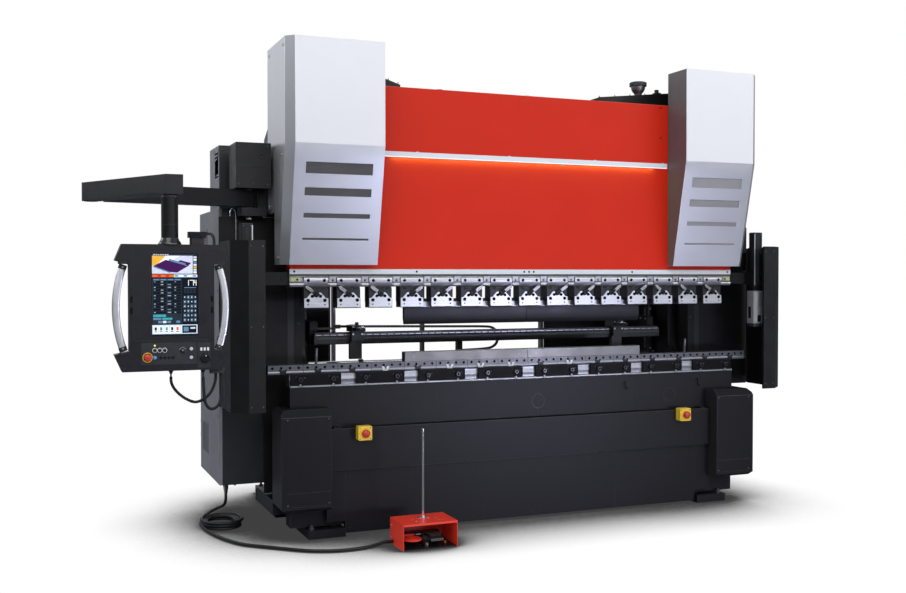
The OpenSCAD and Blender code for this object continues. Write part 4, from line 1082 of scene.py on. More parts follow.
# ------------------------------------------------------------ foot switch
hood = Mb()
X0, X1, Y0, Y1, H = -1044, -716, -570, -337, 150
side = [(Y0, 0.3), (Y1, 0.3), (Y1, H), (Y0 + 4, H), (Y0, H - 4)]
hood.prism(side, "x", X0, X0 + 3, "foot_red")
hood.prism(side, "x", X1 - 3, X1, "foot_red")
hood.prism([(X0 + 3, Y0), (X1 - 3, Y0), (X1 - 3, Y1), (X0 + 3, Y1)], "z", H - 3, H, "foot_red", holes=[rrect(-953, -510, -897, -504, 2.9, 3), rrect(-818, -510, -762, -504, 2.9, 3), circle(-873, -423, 8.6)])
hood.box((X0 + 3, Y1 - 3, 0.3), (X1 - 3, Y1, H - 3), "foot_red")
# rolled front rim of the roof, and screws on the sides and roof
hood.box((X0 + 3, Y0, H - 12), (X1 - 3, Y0 + 3, H - 3), "foot_red")
for x, z in ((X0, 40), (X0, 110)):
    hood.domed((x, -360, z), (-1, 0, 0), 5, 2.4, "satin")
for z in (40, 110):
    hood.domed((X1, -360, z), (1, 0, 0), 5, 2.4, "satin")
for dx, dy in ((-70, -16), (-70, 40), (70, -16), (70, 40)):
    hood.domed((-880 + dx, -500 + dy, 150), (0, 0, 1), 4.5, 2.4, "satin", 14)
mk("pedal_hood", hood, "frame", bevel=1.0, seg=2, replaces="foot_switch_hood")
fb = Mb()
fb.box((-1040.5, -560, 0.2), (-719.5, -340.5, 6), "black_coat")
fb.prism([(-395, 6), (-345, 6), (-345, 56), (-350, 60), (-390, 60), (-395, 55)], "x", -1010, -760, "black_plastic")
for x in (-1003, -917, -874, -776):
    fb.prism([(-420, 6), (-395, 6), (-395, 60), (-399, 64), (-412, 64), (-416, 60)], "x", x - 3.8, x + 3.8, "black_coat")
fb.cyl((-1009, -406, 50), (-770, -406, 50), 4, "satin", 20, ch=0.5)
# brass coloured adjusting screws, junction box and wires
for x in (-897, -755):
    fb.hexbolt((x, -470, 6), (0, 0, 1), 9, 8, "brass", washer=2)
fb.prism(rrect(-905, -540, -880, -452, 4), "z", 6, 34, "black_plastic")
fb.domed((-892, -540, 22), (0, -1, 0), 5, 2, "brass")
fb.tube(smooth_run([(-892, -450, 24), (-893, -436, 28), (-898, -424, 26), (-902, -412, 20), (-905, -398, 18)], 5), 3, "rubber", 8)
fb.tube(smooth_run([(-760, -372, 30), (-745, -372, 32), (-736, -380, 26), (-734, -396, 14), (-736, -410, 9)], 5), 3, "rubber", 8)
# rod with its nuts and a rounded top
fb.lathe([(0, 0), (7.4, 0), (8, 0.8), (8, 526), (7, 527.4), (4, 528), (0, 528)], (-873, -423, 138), (0, 0, 1), "chrome", 24)
fb.hexbolt((-873, -423, 150.3), (0, 0, 1), 14, 9, "satin", washer=1.5)
fb.hexbolt((-873, -423, 146.8), (0, 0, -1), 14, 6.5, "satin", washer=0)
fb.box((-905, -439, 150.2), (-841, -407, 151.6), "satin")
# ribbed strain relief
pr = [(0, 0), (10.8, 0)]
for k in range(6):
    pr += [(10.6 - k * 0.25, 4 + k * 7.4), (10.6 - k * 0.25, 8 + k * 7.4), (9.4 - k * 0.08, 8.4 + k * 7.4), (9.4 - k * 0.08, 11 + k * 7.4)]
pr += [(9.3, 50), (0, 50)]
fb.lathe(pr, (-1038, -391, 20), (-1, 0, 0), "rubber", 24)
mk("pedal_base", fb, "frame", bevel=0.6, seg=1, replaces="foot_switch_base")
pl = Mb()
pl.cyl((-998, -406, 50), (-922, -406, 50), 8, "foot_red", 24, ch=1)
pl.prism([(-975, -470), (-945, -470), (-945, -402), (-975, -402)], "z", 44, 50, "foot_red")
pl.lathe([(0, 0), (52, 0), (55, 2), (55, 8), (52.5, 10.2), (44, 10.8), (0, 10.8)], (-960, -480, 39.6), (0, 0, 1), "foot_red", 48)
for k in range(3):
    pl.ring((-960, -480, 50), (-960, -480, 51.6), 44 - k * 12, 40 - k * 12, "foot_red", 48, 0.5)
mk("pedal_left_plate", pl, "pedal_left", bevel=0.0, replaces="pedal_left")
pr_ = Mb()
pr_.cyl((-869, -406, 50), (-781, -406, 50), 8, "black_plastic", 24, ch=1)
pr_.prism([(-402, 42), (-402, 58), (-440, 64), (-500, 60), (-528, 48), (-534, 34), (-526, 34), (-500, 46), (-440, 50)], "x", -864, -786, "black_plastic")
for k in range(7):
    y = -448 - k * 10
    z = 64 - (k * 10 + 8) / 60 * 4
    pr_.box((-858, y - 3, z - 1.5), (-792, y, z + 1.5), "black_plastic")
mk("pedal_right_plate", pr_, "pedal_right", bevel=0.8, seg=1, replaces="pedal_right")
paint("throat_strip", (0.0085, 0.0085, 0.012), rough=0.4, spec=0.4, grain=900, gstr=0.3)
paint("throat_black", (0.0032, 0.0032, 0.0042), rough=0.5, spec=0.25, grain=900, gstr=0.3)
paint("post_bright", (0.62, 0.62, 0.66), rough=0.35, metallic=0.4, grain=800, gstr=0.1)
paint("post_grey", (0.075, 0.072, 0.080), rough=0.4, spec=0.5, grain=800, gstr=0.2)
# lighter copy of the cabinet paint for faces turned to the left: painted light
paint("cabinet_grey", (0.165, 0.167, 0.190), rough=0.46, spec=0.45, grain=700, gstr=0.4, dust=0.05)

# ------------------------------------------------------------ frame, lower table, rear
def frame_pick(c, n):
    return "charcoal"


clone("machine_frame", "frame_body", frame_pick, "frame", bevel=3.0, seg=2, edge="charcoal_edge")
fx = Mb()
for s in (-1, 1):
    # anchor bolts and levelling screws at the feet
    for y in (-60, 60, 1180, 1340):
        fx.hexbolt((s * 1438, y, 50), (0, 0, 1), 15, 13, "screw_dark", washer=3)
        fx.cyl((s * 1438, y, 66), (s * 1438, y, 78), 8.5, "screw_dark", 16, ch=1)
    for y in (0, 1260):
        fx.hexbolt((s * 1290, y, 50), (0, 0, 1), 17, 15, "black_oxide", washer=3)
    # seat bolts under the cylinder seat
    for y in (-36, 96):
        for x in (1322, 1438):
            fx.socket((s * x, y, 2340), (0, 0, 1), 12, 12, "black_oxide")
    # bolts on the outer face
    for (y, z) in ((140, 300), (140, 620), (140, 900), (500, 200), (900, 200), (500, 2600), (800, 2600)):
        fx.hexbolt((s * 1410, y, z), (s, 0, 0), 14, 9, "black_oxide", washer=2.5)
    # reinforcing ring round the lifting hole
    fx.ring((s * 1409, 1180, 2420), (s * 1418, 1180, 2420), 62, 40, "charcoal_edge", 40, 2)
    # hydraulic pipe along the inner face of the column
    fx.tube(smooth_run([(s * 1338, 190, 1100), (s * 1338, 200, 1000), (s * 1338, 205, 800), (s * 1338, 205, 300), (s * 1334, 230, 240), (s * 1300, 260, 225), (s * 1240, 268, 222)], 5), 9, "dull_steel", 12)
    for z in (350, 600, 850):
        fx.box((s * 1349, 188, z), (s * 1325, 222, z + 24), "black_oxide")
# bolted pads of the cross members
for z in (180, 460, 2120, 2360):
    for x in (-1310, 1310, -900, 900, -300, 300):
        fx.hexbolt((x, 1310, z), (0, 1, 0), 13, 9, "black_oxide", washer=2.5)
# cable tray and drain pipe along the rear cross member
fx.box((-1180, 1312, 300), (1180, 1330, 304), "dull_steel"); fx.box((-1180, 1326, 304), (1180, 1330, 344), "dull_steel")
for k in range(18):
    fx.box((-1160 + k * 136, 1329.5, 314), (-1110 + k * 136, 1330.4, 332), "seam_dark")
fx.tube([(-1150, 1320, 312), (-400, 1320, 312), (400, 1320, 312), (1150, 1320, 312)], 8, "rubber", 10)
fx.tube([(-1150, 1318, 324), (0, 1319, 324), (1150, 1318, 324)], 5, "rubber", 8)
mk("frame_details", fx, "frame")

lb = Mb()
lb.prism([(-40, 60), (70, 60), (70, 888), (-40, 888)], "x", -1560, 1560, "charcoal")
mk("lower_beam_plate", lb, "frame", bevel=3, seg=2, edge="charcoal_edge", replaces="lower_beam")
lx = Mb()
for k in range(7):
    x = -1350 + k * 450
    # crowning screws and wedge adjusters at the back of the table
    lx.prism(rrect(x - 60, 760, x + 60, 850, 8), "y", 70, 96, "charcoal")
    for d in (-42, 42):
        lx.socket((x + d, 96, 805), (0, 1, 0), 9, 9, "black_oxide", 18)
    lx.cyl((x, 96, 805), (x, 122, 805), 17, "satin", 24, ch=2)
    lx.hexbolt((x, 122, 805), (0, 1, 0), 12, 9, "black_oxide")
lx.tube([(-1300, 78, 700), (-600, 80, 700), (0, 79, 700), (600, 80, 700), (1300, 78, 700)], 7, "dull_steel", 10)
lx.tube([(-1300, 78, 724), (-600, 79, 724), (0, 80, 724), (600, 79, 724), (1300, 78, 724)], 7, "dull_steel", 10)
for k in range(8):
    lx.box((-1260 + k * 360, 70, 688), (-1230 + k * 360, 90, 736), "black_oxide")
mk("table_rear_details", lx, "frame")

# ------------------------------------------------------------ hydraulics
hy = Mb()
for s in (-1, 1):
    x, y = s * 1380, 15
    hy.lathe([(75, 0), (98, 0), (100, 2), (100, 58), (98, 60), (75, 60), (75, 0)], (x, y, 2230), (0, 0, 1), "charcoal", 64)
    hy.lathe([(79, 0), (103, 0), (105, 2), (105, 22), (102, 25), (102, 440), (105, 443), (105, 496), (101, 500), (0, 500)], (x, y, 2340), (0, 0, 1), "charcoal", 72)
    hy.lathe([(0, 0), (40, 0), (42, 2), (42, 16), (38, 20), (0, 20)], (x, y, 2840 - 20.1), (0, 0, 1), "charcoal_edge", 32)
    for k in range(8):
        t = (k + 0.5) * math.pi / 4
        hy.socket((x + 82 * math.cos(t), y + 82 * math.sin(t), 2839.9), (0, 0, 1), 10, 10, "black_oxide", 18)
    # motor: finned body, fan cowl, terminal box
    mx = s * 1270
    hy.prism(rrect(mx - 80, 2440, mx + 80, 2600, 14), "y", 300, 420, "charcoal")
    hy.cyl((mx, 420, 2520), (mx, 676, 2520), 68, "grey_coat", 48, ch=2)
    for k in range(28):
        t = 2 * math.pi * k / 28
        hy.M = Matrix.Translation((mx, 0, 2520)) @ Matrix.Rotation(t, 4, "Y")
        hy.box((66, 436, -1.4), (77, 664, 1.4), "grey_coat")
        hy.M = None
    hy.lathe([(0, 0), (76, 0), (78, 3), (78, 38), (73, 44), (0, 44)], (mx, 676, 2520), (0, 1, 0), "grey_coat", 48)
    for rr in (18, 32, 46, 60):
        hy.ring((mx, 719.6, 2520), (mx, 720.4, 2520), rr + 3, rr, "seam_dark", 40)
    hy.box((mx - 34, 480, 2588), (mx + 34, 570, 2599.5), "grey_coat")
    # pump block fittings and pipes to the cylinder
    hy.hexbolt((mx - s * 40, 300, 2560), (0, -1, 0), 15, 16, "satin")
    hy.tube(smooth_run([(mx - s * 40, 284, 2560), (mx - s * 40, 240, 2562), (mx - s * 10, 190, 2580), (s * 1330, 150, 2610), (s * 1350, 118, 2650)], 6), 11, "dull_steel", 14)
    hy.hexbolt((s * 1350, 112, 2652), (-s * 0.3, 1, -0.3), 16, 14, "satin")
    hy.tube(smooth_run([(mx + s * 40, 300, 2480), (mx + s * 44, 250, 2478), (mx + s * 60, 180, 2460), (s * 1372, 130, 2420)], 6), 9, "rubber", 12)
# carrier of the pumps and tank
hy.box((-1350, 170, 2240), (1350, 230, 2330), "charcoal")
for k in range(9):
    hy.domed((-1280 + k * 320, 230, 2285), (0, 1, 0), 8, 4, "black_oxide")
# oil tank with lid and sight glass
hy.prism(rrect(600, 128, 1150, 420, 14), "z", 2500, 2728, "charcoal")
hy.prism(rrect(592, 122, 1158, 426, 14), "z", 2728, 2742, "charcoal")
for k in range(6):
    hy.socket((612 + k * 105, 134, 2742), (0, 0, 1), 6, 5, "black_oxide", 16)
    hy.socket((612 + k * 105, 414, 2742), (0, 0, 1), 6, 5, "black_oxide", 16)
hy.prism(rrect(860, 2560, 890, 2690, 12), "y", 418, 430, "bright")
# the oil in the sight glass glows in the screen's gold: painted light, no lamp
hy.prism(rrect(866, 2572, 884, 2678, 8), "y", 429, 431.5, "scr_gold")
hy.cyl((700, 420, 2530), (700, 436, 2530), 15, "brass", 24, ch=2); hy.hexbolt((700, 436, 2530), (0, 1, 0), 9, 7, "brass")
# breather with ribbed cap
hy.lathe([(0, 0), (38, 0), (38, 4), (25, 8), (25, 48), (29, 56), (38, 66), (47, 84), (50, 106), (0, 106)], (932, 170, 2742), (0, 0, 1), "dull_steel", 40)
n_r = 40
cap = []
for h, r in ((46, 40), (47, 55), (49, 59), (70, 59), (74, 57), (78, 44), (81, 22)):
    cap.append((h, r))
prev = None
for h, r in cap:
    ring_ = hy.p([(932 + (r - (1.8 if (i % 2 and 47 < h < 74) else 0)) * math.cos(2 * math.pi * i / (2 * n_r)), 170 + (r - (1.8 if (i % 2 and 47 < h < 74) else 0)) * math.sin(2 * math.pi * i / (2 * n_r)), 2797 + h) for i in range(2 * n_r)])
    if prev is not None:
        for i in range(2 * n_r):
            j = (i + 1) % (2 * n_r)
            hy.face((prev + i, prev + j, ring_ + j, ring_ + i), "black_plastic", False)
    else:
        hy.face([ring_ + i for i in range(2 * n_r)][::-1], "black_plastic")
    prev = ring_
hy.face([prev + i for i in range(2 * n_r)], "black_plastic")
# gauge plug and valve block on the lid
hy.prism(rrect(1056, 140, 1100, 190, 4), "z", 2742, 2808, "black_oxide")
hy.cyl((1078, 165, 2808), (1078, 165, 2830), 15, "black_oxide", 24, ch=1.5)
hy.hexbolt((1064, 150, 2808), (0, 0, 1), 6, 5, "brass")
hy.hexbolt((1056, 165, 2790), (-1, 0, 0), 8, 12, "brass")
hy.tube(smooth_run([(1044, 165, 2790), (1020, 166, 2790), (1005, 170, 2786), (995, 176, 2770), (993, 178, 2742)], 5), 5, "dull_steel", 10)
# sloping screen in front of the tank, with pins on its edge
hy.prism([(588, 2640), (1164, 2640), (1164, 2806), (588, 2744)], "y", 117, 121, "black_coat")
for k in range(5):
    x = 600 + k * 118
    hy.cyl((x, 119, 2744 + (x - 588) * 0.1076), (x, 119, 2752 + (x - 588) * 0.1076), 3, "black_oxide", 10)
# stay plates of the lug, left of centre
hy.prism([(-962, 2560), (-815, 2560), (-815, 2734), (-903, 2762), (-962, 2776)], "y", 126, 150, "black_coat", holes=[circle(-868, 2700, 14, 24)])
for x, z in ((-826, 2736), (-890, 2756)):
    hy.cyl((x, 138, z), (x, 138, z + 14), 3, "black_oxide", 10)
hy.prism(rrect(-920, 2200, -800, 2562, 4), "y", 150, 170, "black_coat")
for z in (2590, 2640):
    hy.hexbolt((-860, 126, z), (0, -1, 0), 11, 8, "black_oxide")
# tank supports
for x in (640, 1110):
    hy.prism([(225, 2330), (300, 2330), (380, 2500), (225, 2500)], "x", x - 8, x + 8, "charcoal")
hyd = mk("hydraulic_units", hy, "frame", bevel=1.2, seg=2, edge="charcoal_edge", replaces="hydraulics")

# ------------------------------------------------------------ guards and cabinets
gp = Mb()
for s in (-1, 1):
    a, b_ = sorted((s * 1410, s * 1916.8))
    gp.box((a, 262, 760), (b_, 266, 1898), "throat_black")
    q0, q1 = sorted((s * 1462, s * 1502))
    gp.prism(rrect(q0, 770, q1, 1880, 3), "y", 259.8, 262.2, "throat_strip")
    c0, c1 = sorted((s * 1410, s * 1650))
    gp.box((c0, 262.1, 220), (c1, 265.9, 761), "throat_black")
    c0, c1 = sorted((s * 1410.3, s * 1414))
    gp.box((c0, 262.1, 940), (c1, 440, 1640), "black_coat")
    c0, c1 = sorted((s * 1410, s * 1640))
    for z in (900, 1560):
        gp.box((c0, 265.8, z), (c1, 286, z + 60), "charcoal")
        for x in (1440, 1610):
            gp.hexbolt((s * x, 286, z + 30), (0, 1, 0), 9, 6, "satin", washer=1.5)
    # folded rear edge and top fold
    for z in (830, 1600):
        for dz in (-12, 100):
            x0, x1 = sorted((s * 1893, s * 1917))
            gp.box((x0, 238, z + dz), (x1, 262.5, z + dz + 12), "black_coat")
        gp.cyl((s * 1905, 250, z - 6), (s * 1905, 250, z + 106), 6, "satin", 18, ch=1)
        # screws in the front face
    for z in (790, 1000, 1250, 1500, 1750, 1870):
        gp.domed((s * 1430, 262, z), (0, -1, 0), 5, 2.4, "screw_dark", 14)
for x0, x1 in ((-1340, -990), (720, 1340)):
    gp.box((x0, 1170, 530), (x1, 1174, 2050), "black_coat")
    for k in range(6):
        gp.domed((x0 + 14, 1170, 600 + k * 280), (0, -1, 0), 5, 2.4, "screw_dark", 14)
for x in (-992, -954, -278, 700):
    gp.prism(rrect(x, 1173.8, x + 20, 1229.8, 3), "z", 490, 2090, "post_bright" if x == -954 else "post_grey")
mk("guard_sheets", gp, "frame", bevel=1.2, seg=2, edge="black_edge", replaces="guard_panels")

paint("cabinet_paint", (0.0085, 0.011, 0.0145), rough=0.44, spec=0.5, grain=700, gstr=0.4, dust=0.05)
# faces turned to the left get the lighter copy, painted light
clone("electrical_cabinet", "cabinet_shell", lambda c, n: "cabinet_grey" if n.x < -0.5 else "cabinet_paint", "frame", bevel=2.5, seg=2, edge="charcoal_edge")
cx = Mb()
# seam frames, rear door of the cabinet with hinges, locks, cooling grille
cx.prism(rrect(-1880, 300, -1652, 1930, 6), "y", 1000, 1003, "cabinet_paint")
for z in (420, 1100, 1780):
    cx.cyl((-1648, 1004, z), (-1648, 1004, z + 70), 6, "satin", 16, ch=1)
for z in (700, 1500):
    cx.cyl((-1862, 1003, z), (-1862, 1008, z), 11, "satin", 24, ch=1)
    cx.box((-1868, 1008, z - 1.2), (-1856, 1009, z + 1.2), "gloss_black")
for k in range(16):
    cx.box((-1840, 1002.6, 1600 + k * 14), (-1700, 1003.6, 1606 + k * 14), "seam_dark")
for k in range(16):
    cx.box((-1840, 1002.6, 420 + k * 14), (-1700, 1003.6, 426 + k * 14), "seam_dark")
# upper cabinet: screws
for y in (460, 605, 750):
    for z in (1975, 2320):
        cx.domed((-1881, y, z), (-1, 0, 0), 5, 2.4, "screw_dark", 14)
for x in (-1860, -1660):
    for z in (1975, 2320):
        cx.domed((x, 440, z), (0, -1, 0), 5, 2.4, "screw_dark", 14)
# louvre blades behind the openings, in the lighter cabinet grey of painted light
for k in range(7):
    z = 2150 + k * 24
    cx.prism([(-1881, z + 1), (-1879.5, z), (-1868, z + 9), (-1868, z + 11)], "y", 470, 590, "cabinet_grey")
# small plates left bare
cx.box((-1775, 439.2, 2230), (-1735, 440.2, 2262), "white_plate")
# cable gland: nut and cone
cx.lathe([(0, 0), (15, 0), (15, 24.5), (0, 24.5)], (-1870, 320, 255.2), (0, 0, 1), "black_plastic", 6)
cx.lathe([(0, 0), (9.6, 0), (10, 0.6), (10.8, 6), (10.2, 8), (11.6, 14), (11, 16), (12.6, 22), (12, 24), (14, 30), (0, 30)], (-1870, 320, 225.2), (0, 0, 1), "rubber", 24)
for (yy, r) in ((360, 11), (400, 9), (440, 9)):
    cx.lathe([(0, 0), (r * 0.8, 0), (r * 0.8, 8), (r, 9), (r, 24.8), (0, 24.8)], (-1870 if yy == 360 else -1800, yy, 255), (0, 0, 1), "black_plastic", 18)
cx.tube(smooth_run([(-1850, 256, 1902), (-1847, 256, 1930), (-1836, 256, 1946), (-1823, 256, 1938), (-1816, 256, 1910), (-1815, 256, 1850), (-1815, 256, 1752)], 6), 4.2, "bright", 10)
mk("cabinet_details", cx, "frame")

cd = Mb()
# the door faces left and is drawn in the lighter cabinet grey: painted light
cd.box((-1911, 292, 281), (-1909, 996, 1947), "cabinet_grey")
for (a, b_) in (((-1909, 292, 281), (-1894, 294, 1947)), ((-1909, 994, 281), (-1894, 996, 1947)), ((-1909, 294, 281), (-1894, 994, 283)), ((-1909, 294, 1945), (-1894, 994, 1947))):
    cd.box(a, b_, "cabinet_grey")
for z in (500, 1690):
    cd.ring((-1902, 1008, z + 0.5), (-1902, 1008, z + 79.5), 7, 5, "satin", 20)
    cd.box((-1909, 994, z + 2), (-1901.5, 1003, z + 78), "cabinet_grey")
cd.prism(rrect(320, 1080, 340, 1180, 9), "x", -1914, -1911, "gloss_black")
cd.prism(rrect(323, 1100, 337, 1170, 6), "x", -1917, -1913.5, "black_plastic")
cd.cyl((-1911, 330, 1120), (-1917, 330, 1120), 7, "chrome", 24, ch=0.8)
for z in (700, 1460):
    cd.cyl((-1911, 330, z), (-1915, 330, z), 10, "satin", 24, ch=1)
    cd.box((-1915.8, 322, z - 1.2), (-1914.8, 338, z + 1.2), "gloss_black")
# pressed panel with filter grille
for k in range(14):
    cd.box((-1911.7, 700, 1650 + k * 13), (-1910.8, 900, 1656 + k * 13), "seam_dark")
    cd.box((-1911.7, 700, 420 + k * 13), (-1910.8, 900, 426 + k * 13), "seam_dark")
for (y0, z0) in ((690, 1636), (690, 406)):
    cd.prism(rrect(y0, z0, y0 + 220, z0 + 206, 8), "x", -1913, -1911, "cabinet_grey", holes=[rrect(y0 + 8, z0 + 8, y0 + 212, z0 + 198, 6)])
mk("cabinet_door_sheet", cd, "cabinet_door", bevel=1.0, seg=2, edge="charcoal_edge", replaces="cabinet_door")

# ------------------------------------------------------------ arm bracket
PX, PY = -1745, 205
ab = Mb()
ab.prism([(-1848, 80), (-1640, 80), (-1640, 288), (-1848, 288)], "z", 2060, 2325, "black_coat")
ab.prism([(-1846, 82), (-1642, 82), (-1642, 286), (-1846, 286)], "z", 2325, 2327, "black_coat")
ab.box((-1848.6, 78.8, 2180), (-1639.6, 80, 2182), "seam_dark")
ab.prism(rrect(-1810, 150, -1640, 262, 16), "z", 1900, 1950, "black_coat")
ab.box((-1680, 262, 1900), (-1640, 288, 2061), "black_coat")
ab.box((-1640, 266.2, 1900), (-1410, 286, 2255), "black_coat")
ab.cyl((PX, PY, 1899), (PX, PY, 2062), 20, "satin", 32, ch=1)
ab.lathe([(0, 0), (30, 0), (34, 3), (34, 8), (0, 8)], (PX, PY, 1900), (0, 0, -1), "black_oxide", 40)
ab.hexbolt((PX, PY, 1892), (0, 0, -1), 18, 12, "satin")
for (x, z) in ((-1830, 2082), (-1660, 2082), (-1830, 2305), (-1660, 2305), (-1745, 2082)):
    ab.domed((x, 80, z), (0, -1, 0), 5, 2.4, "screw_dark", 14)
for (y, z) in ((100, 2082), (268, 2082), (100, 2305), (268, 2305)):
    ab.domed((-1848, y, z), (-1, 0, 0), 5, 2.4, "screw_dark", 14)
ab.ring((-1700, 79.8, 2250), (-1700, 74.5, 2250), 15, 9, "black_oxide", 32, 1)
for x in (-1600, -1450):
    for z in (1960, 2210):
        ab.hexbolt((x, 266.2, z), (0, -1, 0), 11, 8, "black_oxide", washer=2)
mk("arm_bracket_housing", ab, "frame", bevel=1.5, seg=2, edge="black_edge", replaces="arm_bracket")

# ------------------------------------------------------------ laser units beside the ram
lz = Mb()
for s, x0 in ((1, 1700), (-1, 1785)):
    lz.M = Matrix.Diagonal((s, 1, 1, 1))
    # upright with a slot, rounded edges and end cap
    lz.prism(rrect(x0, -105, x0 + 70, -45, 6), "z", 1467, 1840, "black_coat")
    lz.prism(rrect(x0 + 1, -104, x0 + 69, -46, 6), "z", 1840, 1845, "black_plastic")
    lz.box((x0 + 28, -105.8, 1500), (x0 + 42, -104.8, 1820), "seam_dark")
    for z in (1490, 1560, 1700, 1830):
        lz.domed((x0 + 14, -105, z), (0, -1, 0), 4, 2, "screw_dark", 14)
        lz.domed((x0 + 56, -105, z), (0, -1, 0), 4, 2, "screw_dark", 14)
    # scale strip along the upright
    lz.box((x0 + 2, -106, 1480), (x0 + 9, -104.9, 1835), "satin")
    # neck rods to the sensor head
    lz.cyl((x0 + 20, -78, 1438), (x0 + 20, -78, 1470), 7, "chrome", 18)
    lz.cyl((x0 + 50, -78, 1438), (x0 + 50, -78, 1470), 7, "chrome", 18)
    lz.box((x0 + 10, -95, 1440), (x0 + 60, -60, 1467.5), "black_oxide")
    # sensor head: grey housing with a window, dark front cap and grey and black marks
    lz.prism(rrect(x0 - 12, -118, x0 + 76, -40, 7), "z", 1214, 1440, "sensor_grey")
    lz.prism(rrect(x0 - 8, -116, x0 + 72, -42, 6), "z", 1192, 1214, "black_plastic")
    lz.prism(rrect(x0 - 6, 1222, x0 + 22, 1432, 4), "y", -119.2, -117.8, "sensor_pale")
    lz.prism(rrect(x0 + 30, 1330, x0 + 70, 1432, 3), "y", -119.0, -117.8, "sensor_dark")
    lz.prism(rrect(x0 + 20, 1226, x0 + 48, 1272, 3), "y", -121, -118, "gloss_black")
    lz.box((x0 - 12.4, -90, 1250), (x0 - 11.8, -60, 1330), "gloss_black")
    # clamp bracket with lever
    lz.box((x0 - 4, -45, 1486), (x0 + 74, 20, 1570), "black_coat")
    for z in (1500, 1556):
        lz.socket((x0 + 15, -45.2, z), (0, -1, 0), 5, 4, "satin", 16)
    lz.cyl((x0 + 74, -10, 1528), (x0 + 86, -10, 1528), 9, "black_oxide", 20, ch=1.5)
    lz.box((1557, -10, 1490), (x0 + 10, 20, 1566), "throat_black")
    for x in (1575, 1600, 1625):
        lz.socket((x, -10.2, 1528), (0, -1, 0), 6, 4, "black_oxide", 18)
    lz.M = None
paint("sensor_grey", (0.20, 0.20, 0.215), rough=0.42, metallic=0.3, grain=900, gstr=0.15)
paint("sensor_pale", (0.34, 0.34, 0.36), rough=0.4, metallic=0.3, grain=900, gstr=0.1)
paint("sensor_dark", (0.13, 0.13, 0.14), rough=0.42, metallic=0.3, grain=900, gstr=0.1)
mk("laser_modules", lz, "ram", bevel=1.0, seg=2, edge="black_edge", replaces="laser_units")

# ------------------------------------------------------------ pendant arms
EX, EY = -2655, 10
QX, QY = -2320, -648


def arm_dir(a, b):
    d = Vector((b[0] - a[0], b[1] - a[1], 0))
    return d.length, math.atan2(d.y, d.x)


L1, A1 = arm_dir((PX, PY), (EX, EY))
ia = Mb()
ia.M = Matrix.Translation((PX, PY, 0)) @ Matrix.Rotation(A1, 4, "Z")
# darker copy of the arm paint: painted shade on the inner arm and on the lower faces of the outer arm
paint("arm_dark", (0.0026, 0.0026, 0.0036), rough=0.42, spec=0.2, grain=900, gstr=0.06, dust=0.0)
paint("arm_paint", (0.0085, 0.0085, 0.0120), rough=0.40, spec=0.36, grain=900, gstr=0.3, dust=0.05)
out = [(0 + 44.5 * math.cos((90 + 180 * i / 16) * DEG), 44.5 * math.sin((90 + 180 * i / 16) * DEG)) for i in range(17)]
ia.prism(out + [(L1 - 80, -44.5), (L1 - 80, 44.5)], "z", 1955.5, 2054.5, "arm_dark", holes=[circle(0, 0, 21.5, 32)])
tg = [(L1 + 43.5 * math.cos((-90 + 180 * i / 16) * DEG), 43.5 * math.sin((-90 + 180 * i / 16) * DEG)) for i in range(17)]
ia.prism([(L1 - 81, -43.5)] + tg + [(L1 - 81, 43.5)], "z", 1985.4, 2024.6, "arm_dark", holes=[circle(L1, 0, 21.5, 32)])
# cover plates, screws, cable slot
ia.prism([(60, -38), (L1 - 96, -38), (L1 - 96, 38), (60, 38)], "z", 2054.5, 2055.4, "arm_dark")
for x in (72, 280, 490, 700, L1 - 108):
    if x < L1 - 100:
        for y in (-30, 30):
            ia.domed((x, y, 2054.8), (0, 0, 1), 4, 1.8, "satin", 12)
ia.box((100, -44.9, 1963), (L1 - 110, -44.3, 1966), "seam_dark")
ia.M = None
mk("inner_arm_profile", ia, "inner_arm", bevel=2.0, seg=2, edge="black_edge", replaces="inner_arm")

# lower faces of the outer arm in the darker copy, painted shade
clone("outer_arm", "outer_arm_profile", lambda c, n: "arm_dark" if c.z < 1940 else "arm_paint", "outer_arm", bevel=2.0, seg=2, edge="black_edge")
oa = Mb()
L2, A2 = arm_dir((EX, EY), (QX, QY))
oa.M = Matrix.Translation((EX, EY, 0)) @ Matrix.Rotation(A2, 4, "Z")
for x in (90, 250, 410, 570):
    for y in (-32, 32):
        oa.domed((x, y, 2055), (0, 0, 1), 4, 1.6, "satin", 12)
oa.box((80, -45.5, 1964), (L2 - 60, -44.7, 1967), "seam_dark")
oa.box((80, 44.7, 1964), (L2 - 60, 45.5, 1967), "seam_dark")
oa.ring((0, 0, 1955), (0, 0, 1953), 36, 24, "black_oxide", 40)
oa.M = None
mk("outer_arm_details", oa, "outer_arm")

# ------------------------------------------------------------ pendant
ph = Mb()
HX = [(-2557, 1703), (-2590, 1622), (-2522, 1601), (-2522, 1170), (-2594, 1155), (-2556, 1068), (-2070, 1068), (-2036, 1153), (-2106, 1170), (-2106, 1601), (-2038, 1622), (-2067, 1703)]
win = rrect(-2416, 1243, -2186, 1660, 3, 3)
strip = rrect(-2466, 1102, -2194, 1213, 4, 3)
sub = rrect(-2190, 1080, -2124, 1210, 4, 3)
ph.prism(HX, "y", -690, -672.1, "shell", holes=[win, strip, sub])
ph.prism(HX, "y", -671.7, -612, "shell")
# bezel inside the display opening
ph.prism(rrect(-2422, 1237, -2180, 1666, 6, 4), "y", -690.6, -689.6, "shell_dark", holes=[win])
# side grooves, front seams, screws at the corners
for x in (-2500, -2128):
    ph.box((x - 1, -690.5, 1222), (x + 1, -689.7, 1690), "seam_dark")
ph.box((-2500, -690.5, 1221), (-2128, -689.7, 1223), "seam_dark")
